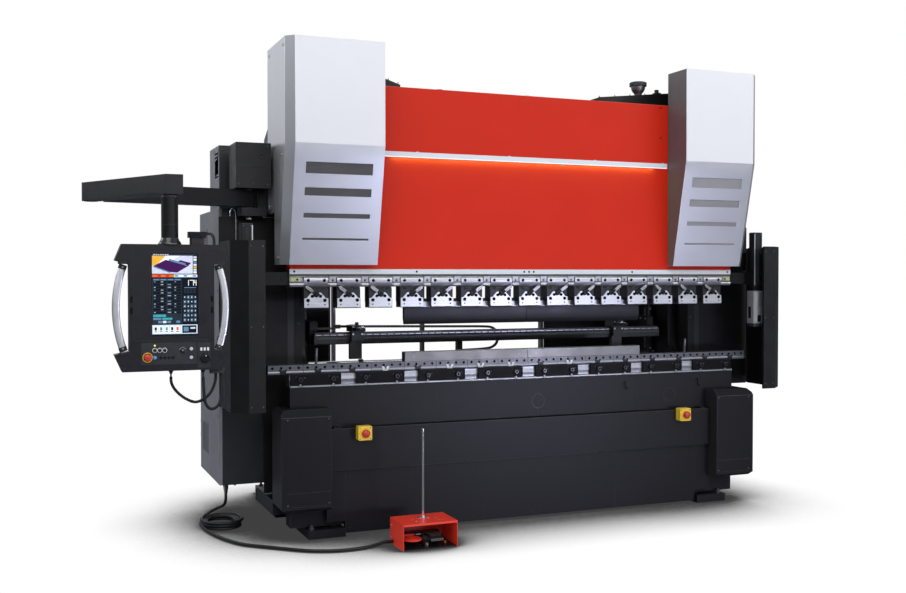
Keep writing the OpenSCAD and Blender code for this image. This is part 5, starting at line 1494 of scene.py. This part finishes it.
# black pads paint the shade in the side grooves
for x in (-2512, -2118):
    for z in (1372, 1428):
        ph.prism(rrect(x - 6, z - 16, x + 6, z + 16, 3, 3), "y", -690.7, -689.7, "black_and_hole_shade")
for (x, z) in ((-2566, 1628), (-2062, 1628), (-2566, 1150), (-2062, 1150), (-2548, 1086), (-2078, 1086), (-2549, 1688), (-2075, 1688)):
    ph.socket((x, -690, z), (0, -1, 0), 4.5, 1.8, "black_oxide", 14)
# grip brackets: dark pads
for (x, z) in ((-2556, 1610), (-2072, 1610), (-2556, 1158), (-2072, 1158)):
    ph.prism(rrect(x - 20, z - 7, x + 20, z + 7, 3, 3), "y", -694, -690, "shell_dark")
# backplate, vent slots, VESA plate and screws on the rear
ph.prism(rrect(-2500, 1200, -2130, 1590, 12), "y", -612, -606, "shell_dark")
for k in range(12):
    ph.box((-2420, -606.4, 1500 + k * 6), (-2210, -605.6, 1503 + k * 6), "gloss_black")
for (x, z) in ((-2488, 1212), (-2142, 1212), (-2488, 1578), (-2142, 1578), (-2315, 1212), (-2315, 1578)):
    ph.domed((x, -606, z), (0, 1, 0), 5, 2.2, "screw_dark", 14)
ph.prism(rrect(-2370, 1300, -2270, 1400, 6), "y", -606, -600, "black_oxide")
for dx in (-40, 40):
    for dz in (-40, 40):
        ph.socket((-2320 + dx, -600, 1350 + dz), (0, 1, 0), 5, 4, "satin", 16)
# collar and post
ph.lathe([(0, 0), (57, 0), (57, 6), (54, 12), (48, 20), (44, 30), (42, 34), (0, 34)], (QX, QY, 1701.5), (0, 0, 1), "gloss_black", 48)
ph.lathe([(0, 0), (42, 0), (42, 214), (40, 216), (0, 216)], (QX, QY, 1735.5), (0, 0, 1), "post_black", 48)
ph.ring((QX, QY, 1800), (QX, QY, 1803), 42.4, 41.8, "seam_dark", 48)
ph.ring((QX, QY, 1936), (QX, QY, 1950), 44.5, 41.8, "black_oxide", 48, 1)
for k in range(4):
    t = k * math.pi / 2 + 0.6
    ph.socket((QX + 44 * math.cos(t), QY + 44 * math.sin(t), 1943), (math.cos(t), math.sin(t), 0), 3.6, 1.2, "satin", 12)
# scanner block on top, cable arc
ph.prism(rrect(-2232, -690, -2144, -630, 8), "z", 1738, 1768, "gloss_black")
ph.prism(rrect(-2222, -682, -2154, -638, 6), "z", 1702, 1739, "shell_dark")
ph.prism(rrect(-2222, 1745, -2170, 1761, 4), "y", -691, -689.4, "scr_dark")
ph.tube(smooth_run([(-2146, -655, 1757), (-2132, -655, 1762), (-2112, -654, 1760), (-2100, -652, 1745), (-2096, -650, 1722), (-2097, -650, 1700)], 6), 4, "rubber", 10)
ph.tube(smooth_run([(-2146, -664, 1750), (-2134, -664, 1755), (-2118, -663, 1753), (-2108, -660, 1740), (-2105, -658, 1720), (-2106, -658, 1700)], 6), 3, "rubber", 10)
# connector and cable boots beneath
ph.prism(rrect(-2125, -665, -2050, -635, 5), "z", 1046, 1069, "black_plastic")
for x in (-2158, -2318):
    ph.lathe([(0, 0), (12, 0), (12, 6), (9, 8), (8.2, 12), (7.4, 13), (7.6, 17), (6.2, 18), (0, 18)], (x, -650, 1068), (0, 0, -1), "rubber", 20)
ph.lathe([(0, 0), (8, 0), (8, 8), (6.5, 10), (0, 10)], (-2094, -650, 1056), (0, 0, -1), "rubber", 16)
ph.lathe([(0, 0), (8, 0), (8, 8), (6.5, 10), (0, 10)], (-2070, -650, 1056), (0, 0, -1), "rubber", 16)
plastic("post_black", (0.0045, 0.0045, 0.0062), rough=0.36, grain=700, gstr=0.03, spec=0.3)
# the shell's bevels take the lighter edge plastic, a painted highlight
pho = mk("pendant_shell", ph, "pendant", bevel=1.6, seg=2, edge="shell_edge_highlight" if "shell_edge_highlight" in mats else None, replaces="pendant_housing")

# display: glass sheet with lit areas under it
ps = Mb()
ps.prism(rrect(-2416, 1243, -2186, 1660, 3, 3), "y", -684.2, -680, "scr_dark")
SX0, SX1, SZ0, SZ1 = -2412, -2190, 1247, 1656
W_, H_ = SX1 - SX0, SZ1 - SZ0


def sq(u0, v0, u1, v1, m, lift=0):
    """Lit area in display units: u 0..1 from left, v 0..1 from the top."""
    x0, x1 = SX0 + u0 * W_, SX0 + u1 * W_
    z1, z0 = SZ1 - v0 * H_, SZ1 - v1 * H_
    y = -684.4 - 0.12 * lift
    k = ps.p([(x0, y, z0), (x1, y, z0), (x1, y, z1), (x0, y, z1)])
    ps.face((k, k + 1, k + 2, k + 3), m)


def spoly(pts, m, lift=0):
    y = -684.4 - 0.12 * lift
    k = ps.p([(SX0 + u * W_, y, SZ1 - v * H_) for u, v in pts])
    ps.face([k + i for i in range(len(pts))][::-1], m)


sq(0, 0, 1, 1, "scr_dark", 0)
# title bar and upper work area
sq(0.0, 0.0, 1.0, 0.022, "scr_slate", 1)
for k in range(7):
    sq(0.03 + k * 0.05, 0.006, 0.06 + k * 0.05, 0.017, "scr_ice", 2)
sq(0.0, 0.024, 0.90, 0.245, "scr_pale", 1)
spoly([(0.0, 0.024), (0.30, 0.024), (0.12, 0.13), (0.0, 0.15)], "scr_gold", 2)
spoly([(0.30, 0.024), (0.62, 0.024), (0.42, 0.085), (0.12, 0.13)], "scr_white", 2)
# a folded sheet part drawn in perspective
spoly([(0.03, 0.150), (0.30, 0.075), (0.80, 0.150), (0.55, 0.232), (0.40, 0.225)], "scr_purple", 3)
spoly([(0.03, 0.150), (0.40, 0.225), (0.40, 0.238), (0.03, 0.165)], "scr_blue", 4)
spoly([(0.80, 0.150), (0.86, 0.112), (0.62, 0.078), (0.55, 0.098)], "scr_purple", 3)
spoly([(0.36, 0.085), (0.38, 0.062), (0.74, 0.118), (0.72, 0.14)], "scr_blue", 4)
for k in range(7):
    sq(0.915, 0.030 + k * 0.031, 0.985, 0.054 + k * 0.031, ("scr_ice", "scr_white", "scr_blue", "scr_ice", "scr_gold", "scr_ice", "scr_white")[k], 2)
# orange tool bar, then white
sq(0.0, 0.254, 0.48, 0.288, "scr_orange", 1)
sq(0.48, 0.254, 1.0, 0.288, "scr_ice", 1)
for k in range(5):
    sq(0.03 + k * 0.09, 0.262, 0.10 + k * 0.09, 0.281, "scr_red" if k % 2 else "scr_amber", 2)
for k in range(5):
    sq(0.50 + k * 0.1, 0.262, 0.57 + k * 0.1, 0.280, "scr_white" if k % 2 else "scr_blue", 2)
# data table with dark rows
sq(0.0, 0.304, 0.66, 0.86, "scr_slate", 1)
for k in range(12):
    v = 0.332 + k * 0.034
    sq(0.02, v, 0.315, v + 0.026, "scr_dark", 2)
    sq(0.335, v, 0.64, v + 0.026, "scr_dark", 2)
    n_c = (3 + (k * 5) % 3)
    for j in range(4):
        if (k + j * 2) % 3 != 1:
            ww = 0.035 + 0.02 * ((k * 3 + j) % 3)
            sq(0.04 + j * 0.15, v + 0.006, 0.04 + j * 0.15 + ww, v + 0.018, "scr_digit" if (k + j) % 3 else "scr_blue", 3)
for j in range(4):
    sq(0.03 + j * 0.155, 0.309, 0.16 + j * 0.155, 0.326, "scr_blue", 2)
sq(0.02, 0.745, 0.30, 0.775, "scr_cyan", 2)
sq(0.02, 0.785, 0.20, 0.81, "scr_blue", 2)
sq(0.22, 0.785, 0.44, 0.81, "scr_cyan", 2)
for k in range(6):
    sq(0.03 + 0.1 * k, 0.822, 0.11 + 0.1 * k, 0.850, ("scr_slate", "scr_blue", "scr_ice", "scr_blue", "scr_slate", "scr_blue")[k], 2)
# large read-out figures and key pad
sq(0.68, 0.304, 0.99, 0.50, "scr_dark", 1)


def seven(u, v, wu, hv, on, m="scr_white"):
    t = 0.014
    tv = t * W_ / H_
    segs = {"a": (u, v, u + wu, v + tv), "g": (u, v + hv / 2 - tv / 2, u + wu, v + hv / 2 + tv / 2), "d": (u, v + hv - tv, u + wu, v + hv),
            "f": (u, v, u + t, v + hv / 2), "b": (u + wu - t, v, u + wu, v + hv / 2), "e": (u, v + hv / 2, u + t, v + hv), "c": (u + wu - t, v + hv / 2, u + wu, v + hv)}
    for q in on:
        sq(*segs[q], m, 3)


seven(0.72, 0.322, 0.09, 0.070, "bc")
seven(0.83, 0.322, 0.09, 0.070, "abc")
seven(0.93, 0.322, 0.05, 0.070, "fgbc")
sq(0.71, 0.412, 0.97, 0.420, "scr_blue", 2)
for r_ in range(2):
    for c_ in range(4):
        sq(0.70 + c_ * 0.07, 0.432 + r_ * 0.03, 0.755 + c_ * 0.07, 0.454 + r_ * 0.03, "scr_slate", 2)
for r_ in range(6):
    for c_ in range(4):
        sq(0.685 + c_ * 0.078, 0.512 + r_ * 0.056, 0.75 + c_ * 0.078, 0.556 + r_ * 0.056, "scr_key" if (r_ + c_) % 3 else "scr_slate", 2)
        sq(0.708 + c_ * 0.078, 0.526 + r_ * 0.056, 0.728 + c_ * 0.078, 0.542 + r_ * 0.056, "scr_ice", 3)
# lower bar with icons
sq(0.0, 0.872, 1.0, 0.985, "scr_ice", 1)
for k in range(5):
    sq(0.03 + k * 0.12, 0.886, 0.12 + k * 0.12, 0.972, "scr_white", 2)
    sq(0.05 + k * 0.12, 0.900, 0.10 + k * 0.12, 0.940, ("scr_slate", "scr_blue", "scr_cyan", "scr_slate", "scr_orange")[k], 3)
    sq(0.045 + k * 0.12, 0.950, 0.105 + k * 0.12, 0.960, "scr_slate", 3)
sq(0.66, 0.882, 0.975, 0.975, "scr_dark", 2)
sq(0.69, 0.90, 0.80, 0.955, "scr_blue", 3)
sq(0.84, 0.905, 0.95, 0.925, "scr_ice", 3)
# control strips under the display
ps.prism(rrect(-2466, 1102, -2194, 1213, 4, 3), "y", -687.2, -682, "panel_film")
ps.prism(rrect(-2190, 1080, -2124, 1210, 4, 3), "y", -687.2, -682, "panel_film")
ps.cyl((-2401, -687, 1197), (-2401, -689.6, 1197), 4.4, "led_yellow", 18, ch=0.6)
for (x, z) in ((-2401, 1173), (-2377, 1173), (-2353, 1173)):
    ps.ring((x, -687, z), (x, -691.5, z), 12.2, 9.3, "white_plastic", 28, 0.5)
for (x, z) in ((-2401, 1137), (-2223, 1177), (-2223, 1134), (-2265, 1167)):
    ps.ring((x, -687, z), (x, -690, z), 12, 10.4, "black_plastic", 28, 0.4)
ps.ring((-2436, -687, 1138), (-2436, -691.8, 1138), 24.5, 20.8, "yellow_plastic", 36, 0.5)
for k in range(4):
    ps.cyl((-2372 + k * 20, -687, 1135), (-2372 + k * 20, -690.4, 1135), 7.4, "gloss_black", 22, ch=0.8)
for k in range(6):
    t = (150 - k * 24) * DEG
    ps.box((-2265 + 17 * math.cos(t) - 1.6, -688, 1167 + 17 * math.sin(t) - 1.6), (-2265 + 17 * math.cos(t) + 1.6, -687.1, 1167 + 17 * math.sin(t) + 1.6), "panel_line")
for k in range(3):
    ps.box((-2177 + k * 17, -688, 1166), (-2167 + k * 17, -687.1, 1182), "white_plastic")
ps.ring((-2153, -687, 1128), (-2153, -690, 1128), 29, 25.5, "black_plastic", 40, 0.6)
for k in range(20):
    t = k * math.pi / 10
    ps.box((-2153 + 27.6 * math.cos(t) - 0.6, -690.6, 1128 + 27.6 * math.sin(t) - 0.6), (-2153 + 27.6 * math.cos(t) + 0.6, -689.8, 1128 + 27.6 * math.sin(t) + 0.6), "panel_line")
plastic("panel_film", (0.020, 0.021, 0.028), rough=0.34, grain=1200, gstr=0.1, coat=0.15)
plastic("panel_line", (0.36, 0.38, 0.42), rough=0.4, grain=900, gstr=0.05)
mk("pendant_display", ps, "pendant", bevel=0.0, replaces="pendant_screen")

# grips: flat oval aluminium bows with dark end sockets
gr = Mb()
metal("grip_metal", (0.84, 0.85, 0.88), rough=0.34, brush=(40, 8, 1), var=0.06, stains=0.05)
for cx_, sgn in ((-2684, 1), (-1944, -1)):
    pts = []
    for i in range(33):
        t = (-19.4 + 38.8 * i / 32) * DEG
        pts.append((cx_ + sgn * 640 * math.cos(t), -655, 1385 + 640 * math.sin(t)))
    sec = []
    for k in range(28):
        c_, s_ = math.cos(2 * math.pi * k / 28), math.sin(2 * math.pi * k / 28)
        sec.append((18.6 * math.copysign(abs(c_) ** 0.55, c_), 7.8 * math.copysign(abs(s_) ** 0.8, s_)))
    gr.bar(pts[1:-1], sec, "grip_metal", up=(0, -1, 0))
    for e, q in ((0, 1), (-1, -2)):
        a, b_ = Vector(pts[e]), Vector(pts[q])
        d = (b_ - a).normalized()
        gr.bar([a - d * 3, a + d * 20], [(q0 * 1.08, q1 * 1.16) for q0, q1 in sec], "black_plastic", up=(0, -1, 0))
        gr.socket(a + d * 10 + Vector((0, -9.2, 0)), (0, -1, 0), 3.6, 1.0, "satin", 12)
mk("pendant_grips", gr, "pendant", replaces="pendant_handles", angle=50)
mushroom(-2436, -694, 1138, "pendant_stop", "pendant_stop_head", "pendant_stop", R=19.2, r=9, back=3, depth=18, mark=False)
jk = Mb()
jk.lathe([(0, -1), (20, -1), (20, 0), (0, 0)], (-2153, -694, 1128), (0, -1, 0), "satin", 40)
nk = 36
rows = []
for h, r, g in ((0, 23.5, 0), (1.0, 24, 0.9), (15.5, 23.6, 0.9), (18, 21.5, 0.3), (20, 19.5, 0)):
    rows.append(jk.p([(-2153 + (r - (g if i % 2 else 0)) * math.cos(math.pi * i / nk), -694 - h, 1128 + (r - (g if i % 2 else 0)) * math.sin(math.pi * i / nk)) for i in range(2 * nk)]))
for a, b_ in zip(rows, rows[1:]):
    for i in range(2 * nk):
        j = (i + 1) % (2 * nk)
        jk.face((a + i, b_ + i, b_ + j, a + j), "black_plastic", False)
jk.face([rows[0] + i for i in range(2 * nk)], "black_plastic")
jk.face([rows[-1] + i for i in range(2 * nk)][::-1], "gloss_black")
jk.cyl((-2153, -713.6, 1141), (-2153, -714.2, 1141), 3.4, "panel_line", 18)
mk("jog_dial", jk, "jog_knob", replaces="jog_knob", angle=25)
bt = Mb()
for (x, z), m in zip(((-2401, 1173), (-2377, 1173), (-2353, 1173), (-2401, 1137), (-2223, 1177), (-2223, 1134), (-2265, 1167)),
                     ("gloss_black", "gloss_black", "gloss_black", "blue_button", "pale_button", "pale_button", "gloss_black")):
    bt.lathe([(0, 0), (8.6, 0), (9, 0.4), (9, 3.2), (8.2, 4.4), (5, 4.9), (0, 5)], (x, -694, z), (0, -1, 0), m, 32)
    if x == -2265:
        bt.box((x - 1.2, -699.4, z - 1), (x + 1.2, -698.2, z + 8), "panel_line")
mk("pendant_keys", bt, "pendant_buttons", replaces="pendant_buttons", angle=50)

# ------------------------------------------------------------ side doors
for s, nm in ((1, "right_door"), (-1, "left_door")):
    d = Mb()
    d.M = Matrix.Diagonal((s, 1, 1, 1))
    out_ = [(1731, -176), (1826, -176), (1916, -98), (1916, 226), (1898, 226), (1898, -90), (1820, -158), (1731, -158)]
    d.prism(out_, "z", 766, 1746, "black_coat")
    # edge caps, seams and screws
    for z in (766, 1742):
        d.prism([(1733, -174), (1825, -174), (1914, -97), (1914, 224), (1900, 224), (1900, -91), (1821, -160), (1733, -160)], "z", z - 0.6, z + 4.6, "black_plastic")
    d.box((1916, -60, 800), (1916.8, 200, 802), "seam_dark"); d.box((1916, -60, 1710), (1916.8, 200, 1712), "seam_dark")
    for z in (800, 1255, 1712):
        d.domed((1745, -176, z), (0, -1, 0), 4.5, 2.2, "screw_dark", 14)
        d.domed((1812, -176, z), (0, -1, 0), 4.5, 2.2, "screw_dark", 14)
    # pull handle on the inner edge
    d.prism(rrect(1731, -170, 1736, -160, 1, 2), "z", 1180, 1320, "satin")
    for z in (832, 1602):
        d.ring((1905, 250, z), (1905, 250, z + 96), 11, 7.2, "black_oxide", 24, 1)
        d.box((1898, 224, z), (1912.5, 239, z + 96), "black_coat")
        for zz in (z + 20, z + 76):
            d.domed((1915.6, 214, zz), (1, 0, 0), 5, 1.2, "screw_dark", 14)
    # rear fold and inner stiffener
    d.box((1887, 221, 770), (1898.5, 225, 1742), "black_plastic")
    d.prism([(1894, -80), (1898, -80), (1898, 200), (1894, 200)], "z", 1230, 1270, "charcoal")
    d.M = None
    mk(nm + "_sheet", d, nm, bevel=1.5, seg=2, edge="black_edge", replaces=nm)

# ------------------------------------------------------------ back gauge
gc = Mb()
for s in (-1, 1):
    a, b_ = sorted((s * 1292, s * 1348))
    gc.prism([(560, 946), (720, 946), (720, 980), (714, 986), (566, 986), (560, 980)], "x", a, b_, "black_coat")
    for y in (575, 705):
        gc.socket((s * 1320, y, 986), (0, 0, 1), 7, 5, "satin", 18)
    a, b_ = sorted((s * 1292, s * 1330))
    gc.prism(rrect(a, 600, b_, 680, 4), "z", 986, 1330, "black_coat")
    gc.box((s * 1291.6 - 0.5, 628, 1010), (s * 1291.6 + 0.5, 652, 1310), "bright")
    for z in (1010, 1300):
        gc.socket((s * 1311, 600, z), (0, -1, 0), 7, 5, "satin", 18)
    gc.cyl((s * 1311, 640, 1326), (s * 1311, 640, 1330.0), 14, "satin", 24, ch=1)
gc.cyl((-1292, 690, 966), (1292, 690, 966), 12, "chrome", 24)
for x in (-900, 0, 900):
    gc.ring((x - 15, 690, 966), (x + 15, 690, 966), 20, 12, "black_oxide", 28, 1.5)
mk("gauge_carriage_frame", gc, "gauge_carriage", bevel=1.0, seg=2, edge="black_edge", replaces="gauge_carriage")
gb = Mb()
paint("gauge_paint", (0.012, 0.012, 0.015), rough=0.42, spec=0.45, grain=900, gstr=0.3, dust=0.05)
gb.prism(rrect(440, 1104, 530, 1160, 5), "x", -1285, 1285, "gauge_paint")
gb.box((-1283, 439.4, 1125), (1283, 440.2, 1128), "seam_dark")
for s in (-1, 1):
    a, b_ = sorted((s * 1240, s * 1291.6))
    gb.prism(rrect(529, 1110, 640, 1250, 6), "x", a, b_, "black_coat")
    for y in (550, 615):
        for z in (1130, 1230):
            gb.socket((s * 1240, y, z), (-s, 0, 0), 7, 5, "satin", 18)
# guide rail; oblong cover plates in a row show as a dashed line
gb.prism([(446, 1160), (476, 1160), (476, 1168), (472, 1172), (472, 1176), (476, 1179), (474, 1182), (448, 1182), (446, 1179), (450, 1176), (450, 1172), (446, 1168)], "x", -1280, 1280, "rail_dark")
gb.box((-1284, 441.0, 1159.8), (1284, 446.2, 1170), "rail_dark")
for k in range(53):
    x = -1255 + k * 48.2
    gb.prism(rrect(x - 19, 1161.6, x + 19, 1167.6, 2.8, 3), "y", 440.3, 441.2, "rail_dash")
    gb.cyl((x, 461, 1181.5), (x, 461, 1182.6), 5, "black_oxide", 12)
metal("rail_dark", (0.10, 0.10, 0.11), rough=0.34, brush=(1, 6, 40), metallic=0.8, var=0.12)
metal("rail_dash", (0.42, 0.42, 0.45), rough=0.34, brush=(1, 6, 40), var=0.12)
# toothed rack on the front
for k in range(160):
    x = -1270 + k * 16
    gb.box((x, 438.6, 1139), (x + 8, 440.4, 1149), "rail_dark")
mk("gauge_beam_rail", gb, "gauge_beam", bevel=0.8, seg=1, replaces="gauge_beam")
for x, nm in ((-1010, "gauge_head_left"), (920, "gauge_head_right")):
    clone(nm, nm + "_block", "gauge_paint", nm, bevel=1.2, seg=2, edge="black_edge")
    g = Mb()
    for dx in (-30, 30):
        g.socket((x + dx, 400, 1170), (0, -1, 0), 6, 4, "satin", 18)
        g.socket((x + dx, 400, 1216), (0, -1, 0), 6, 4, "satin", 18)
    # hard metal stop finger and its lip
    g.prism([(300, 1196.4), (330, 1196.4), (330, 1207.6), (306, 1207.6), (300, 1203)], "x", x - 21.5, x + 21.5, "bright")
    g.prism(rrect(x - 26, 334, x + 26, 396, 3), "z", 1214, 1216, "bright")
    for (dx, y) in ((-16, 345), (16, 345), (-16, 385), (16, 385)):
        g.socket((x + dx, y, 1216), (0, 0, 1), 4, 3, "black_oxide", 14)
    g.cyl((x, 420, 1226), (x, 420, 1246), 12, "black_plastic", 24, ch=2)
    g.box((x - 20, 470, 1226), (x + 20, 515, 1229), "satin")
    mk(nm + "_finger", g, nm)
# energy chain that runs along the beam and curls back beneath it
ch = Mb()
run = smooth_run([(-1094, 560, 1214), (-820, 560, 1210), (-540, 560, 1205), (-260, 560, 1200), (-60, 560, 1196), (5, 560, 1188), (40, 560, 1160), (52, 560, 1120), (40, 560, 1078), (5, 560, 1052), (-50, 560, 1043), (-140, 560, 1039), (-232, 560, 1037)], 10)
for i in range(len(run) - 1):
    a, b_ = Vector(run[i]), Vector(run[i + 1])
    ch.bar([a.lerp(b_, 0.04), a.lerp(b_, 0.96)], [(-8, -8), (8, -8), (8, 8), (-8, 8)], "black_plastic", up=(0, 1, 0))
ch.box((-1120, 548, 1200), (-1080, 566, 1226), "screw_dark")
ch.box((-262, 529, 1020), (-226, 572, 1106), "black_coat")
ch.box((-1270, 532, 1196), (-1120, 540, 1210), "black_plastic")
mk("gauge_cable_chains", ch, "gauge_beam", bevel=0.8, seg=1)

# ------------------------------------------------------------ floor, lights, world
fm = Nodes("studio_floor")
fm.set(Roughness=0.75, Specular_IOR_Level=0.15)
lp = fm.t.nodes.new("ShaderNodeLightPath")
fl = fm.mix(fm.ramp(fm.noise(0.6, 3, 0.5), 0, 1), (0.86, 0.86, 0.865), (0.90, 0.90, 0.905))
# in glossy reflections the floor turns dark grey: painted shade in what the machine reflects
fl = fm.mix(lp.outputs["Is Glossy Ray"], fl, (0.125, 0.13, 0.15))
fm.link(fl, fm.p.inputs["Base Color"])
# seen directly the floor is a white sheet with a painted soft contact shadow, taken from ambient occlusion
ao = fm.t.nodes.new("ShaderNodeAmbientOcclusion")
ao.samples = 14
ao.inputs["Distance"].default_value = 0.85
tone = fm.t.nodes.new("ShaderNodeMapRange")
tone.inputs["From Min"].default_value, tone.inputs["From Max"].default_value = 0.585, 0.955
tone.inputs["To Min"].default_value, tone.inputs["To Max"].default_value = 0.05, 1.02
glowing = fm.t.nodes.new("ShaderNodeEmission")
glowing.inputs["Color"].default_value = (1, 1, 1, 1)
both = fm.t.nodes.new("ShaderNodeMixShader")
fout = [q for q in fm.t.nodes if q.type == "OUTPUT_MATERIAL"][0]
fm.link(ao.outputs["AO"], tone.inputs["Value"])
fm.link(tone.outputs[0], glowing.inputs["Strength"])
fm.link(lp.outputs["Is Camera Ray"], both.inputs[0])
fm.link(fm.p.outputs[0], both.inputs[1])
fm.link(glowing.outputs[0], both.inputs[2])
fm.link(both.outputs[0], fout.inputs["Surface"])
fmesh = bpy.data.meshes.new("studio_floor")
fmesh.from_pydata([(-40, -30, -0.002), (40, -30, -0.002), (40, 50, -0.002), (-40, 50, -0.002)], [], [(0, 1, 2, 3)])
fmesh.materials.append(fm.mat)
floor = bpy.data.objects.new("studio_floor", fmesh)
scene.collection.objects.link(floor)


def lamp(name, kind, loc, target, energy, size=1.0, size_y=None, col=(1, 1, 1)):
    li = bpy.data.lights.new(name, kind)
    li.energy, li.color = energy, col
    if kind == "AREA":
        li.shape = "RECTANGLE"
        li.size, li.size_y = size, size_y or size
    elif kind == "SUN":
        li.angle = size
    o = bpy.data.objects.new(name, li)
    o.location = loc
    o.rotation_euler = (Vector(target) - Vector(loc)).to_track_quat("-Z", "Y").to_euler()
    scene.collection.objects.link(o)
    return o


lamp("key_sun", "SUN", (-3, -6, 7), (0, 0, 1), 1.08, 0.9)
lamp("front_softbox", "AREA", (3.2, -9.6, 5.36), (0.6, 0, 1.9), 462, 17, 3.85)
lamp("back_fill", "AREA", (0.5, 9.5, 4.2), (0, 0, 1.3), 70, 9, 3)
lamp("bar_wash", "AREA", (0, -0.047, 2.262), (0, -0.020, 2.16), 1.5, 1.86, 0.008, (0.28, 1.0, 0.22))
lamp("left_strip", "AREA", (-8, 3.5, 4.6), (-1, 0, 2.2), 90, 4, 2.2)
lamp("low_card", "AREA", (2.5, -5.7, 0.25), (0.0, 0, 0.75), 85, 1.5, 0.6, (0.74, 0.76, 1.0))
bpy.data.objects["low_card"].visible_diffuse = False

w = bpy.data.worlds.new("studio")
scene.world = w
w.use_nodes = True
wt = w.node_tree
wt.nodes.clear()
wo = wt.nodes.new("ShaderNodeOutputWorld")
seen = wt.nodes.new("ShaderNodeBackground"); seen.inputs[0].default_value = (1, 1, 1, 1); seen.inputs[1].default_value = 1.0
lit = wt.nodes.new("ShaderNodeBackground"); lit.inputs[0].default_value = (0.92, 0.95, 1.0, 1)
geo = wt.nodes.new("ShaderNodeTexCoord")
sep = wt.nodes.new("ShaderNodeSeparateXYZ")
rise = wt.nodes.new("ShaderNodeMapRange")
rise.inputs["From Min"].default_value, rise.inputs["From Max"].default_value = 0.0, 0.22
rise.inputs["To Min"].default_value, rise.inputs["To Max"].default_value = 0.06, 0.50
wt.links.new(geo.outputs["Generated"], sep.inputs[0])
wt.links.new(sep.outputs["Z"], rise.inputs["Value"])
wt.links.new(rise.outputs[0], lit.inputs[1])
wl = wt.nodes.new("ShaderNodeLightPath")
wm = wt.nodes.new("ShaderNodeMixShader")
wt.links.new(wl.outputs["Is Camera Ray"], wm.inputs[0])
wt.links.new(lit.outputs[0], wm.inputs[1])
wt.links.new(seen.outputs[0], wm.inputs[2])
wt.links.new(wm.outputs[0], wo.inputs[0])
scene.view_settings.view_transform = "Standard"
scene.view_settings.look = "None"
scene.view_settings.exposure = 0.0
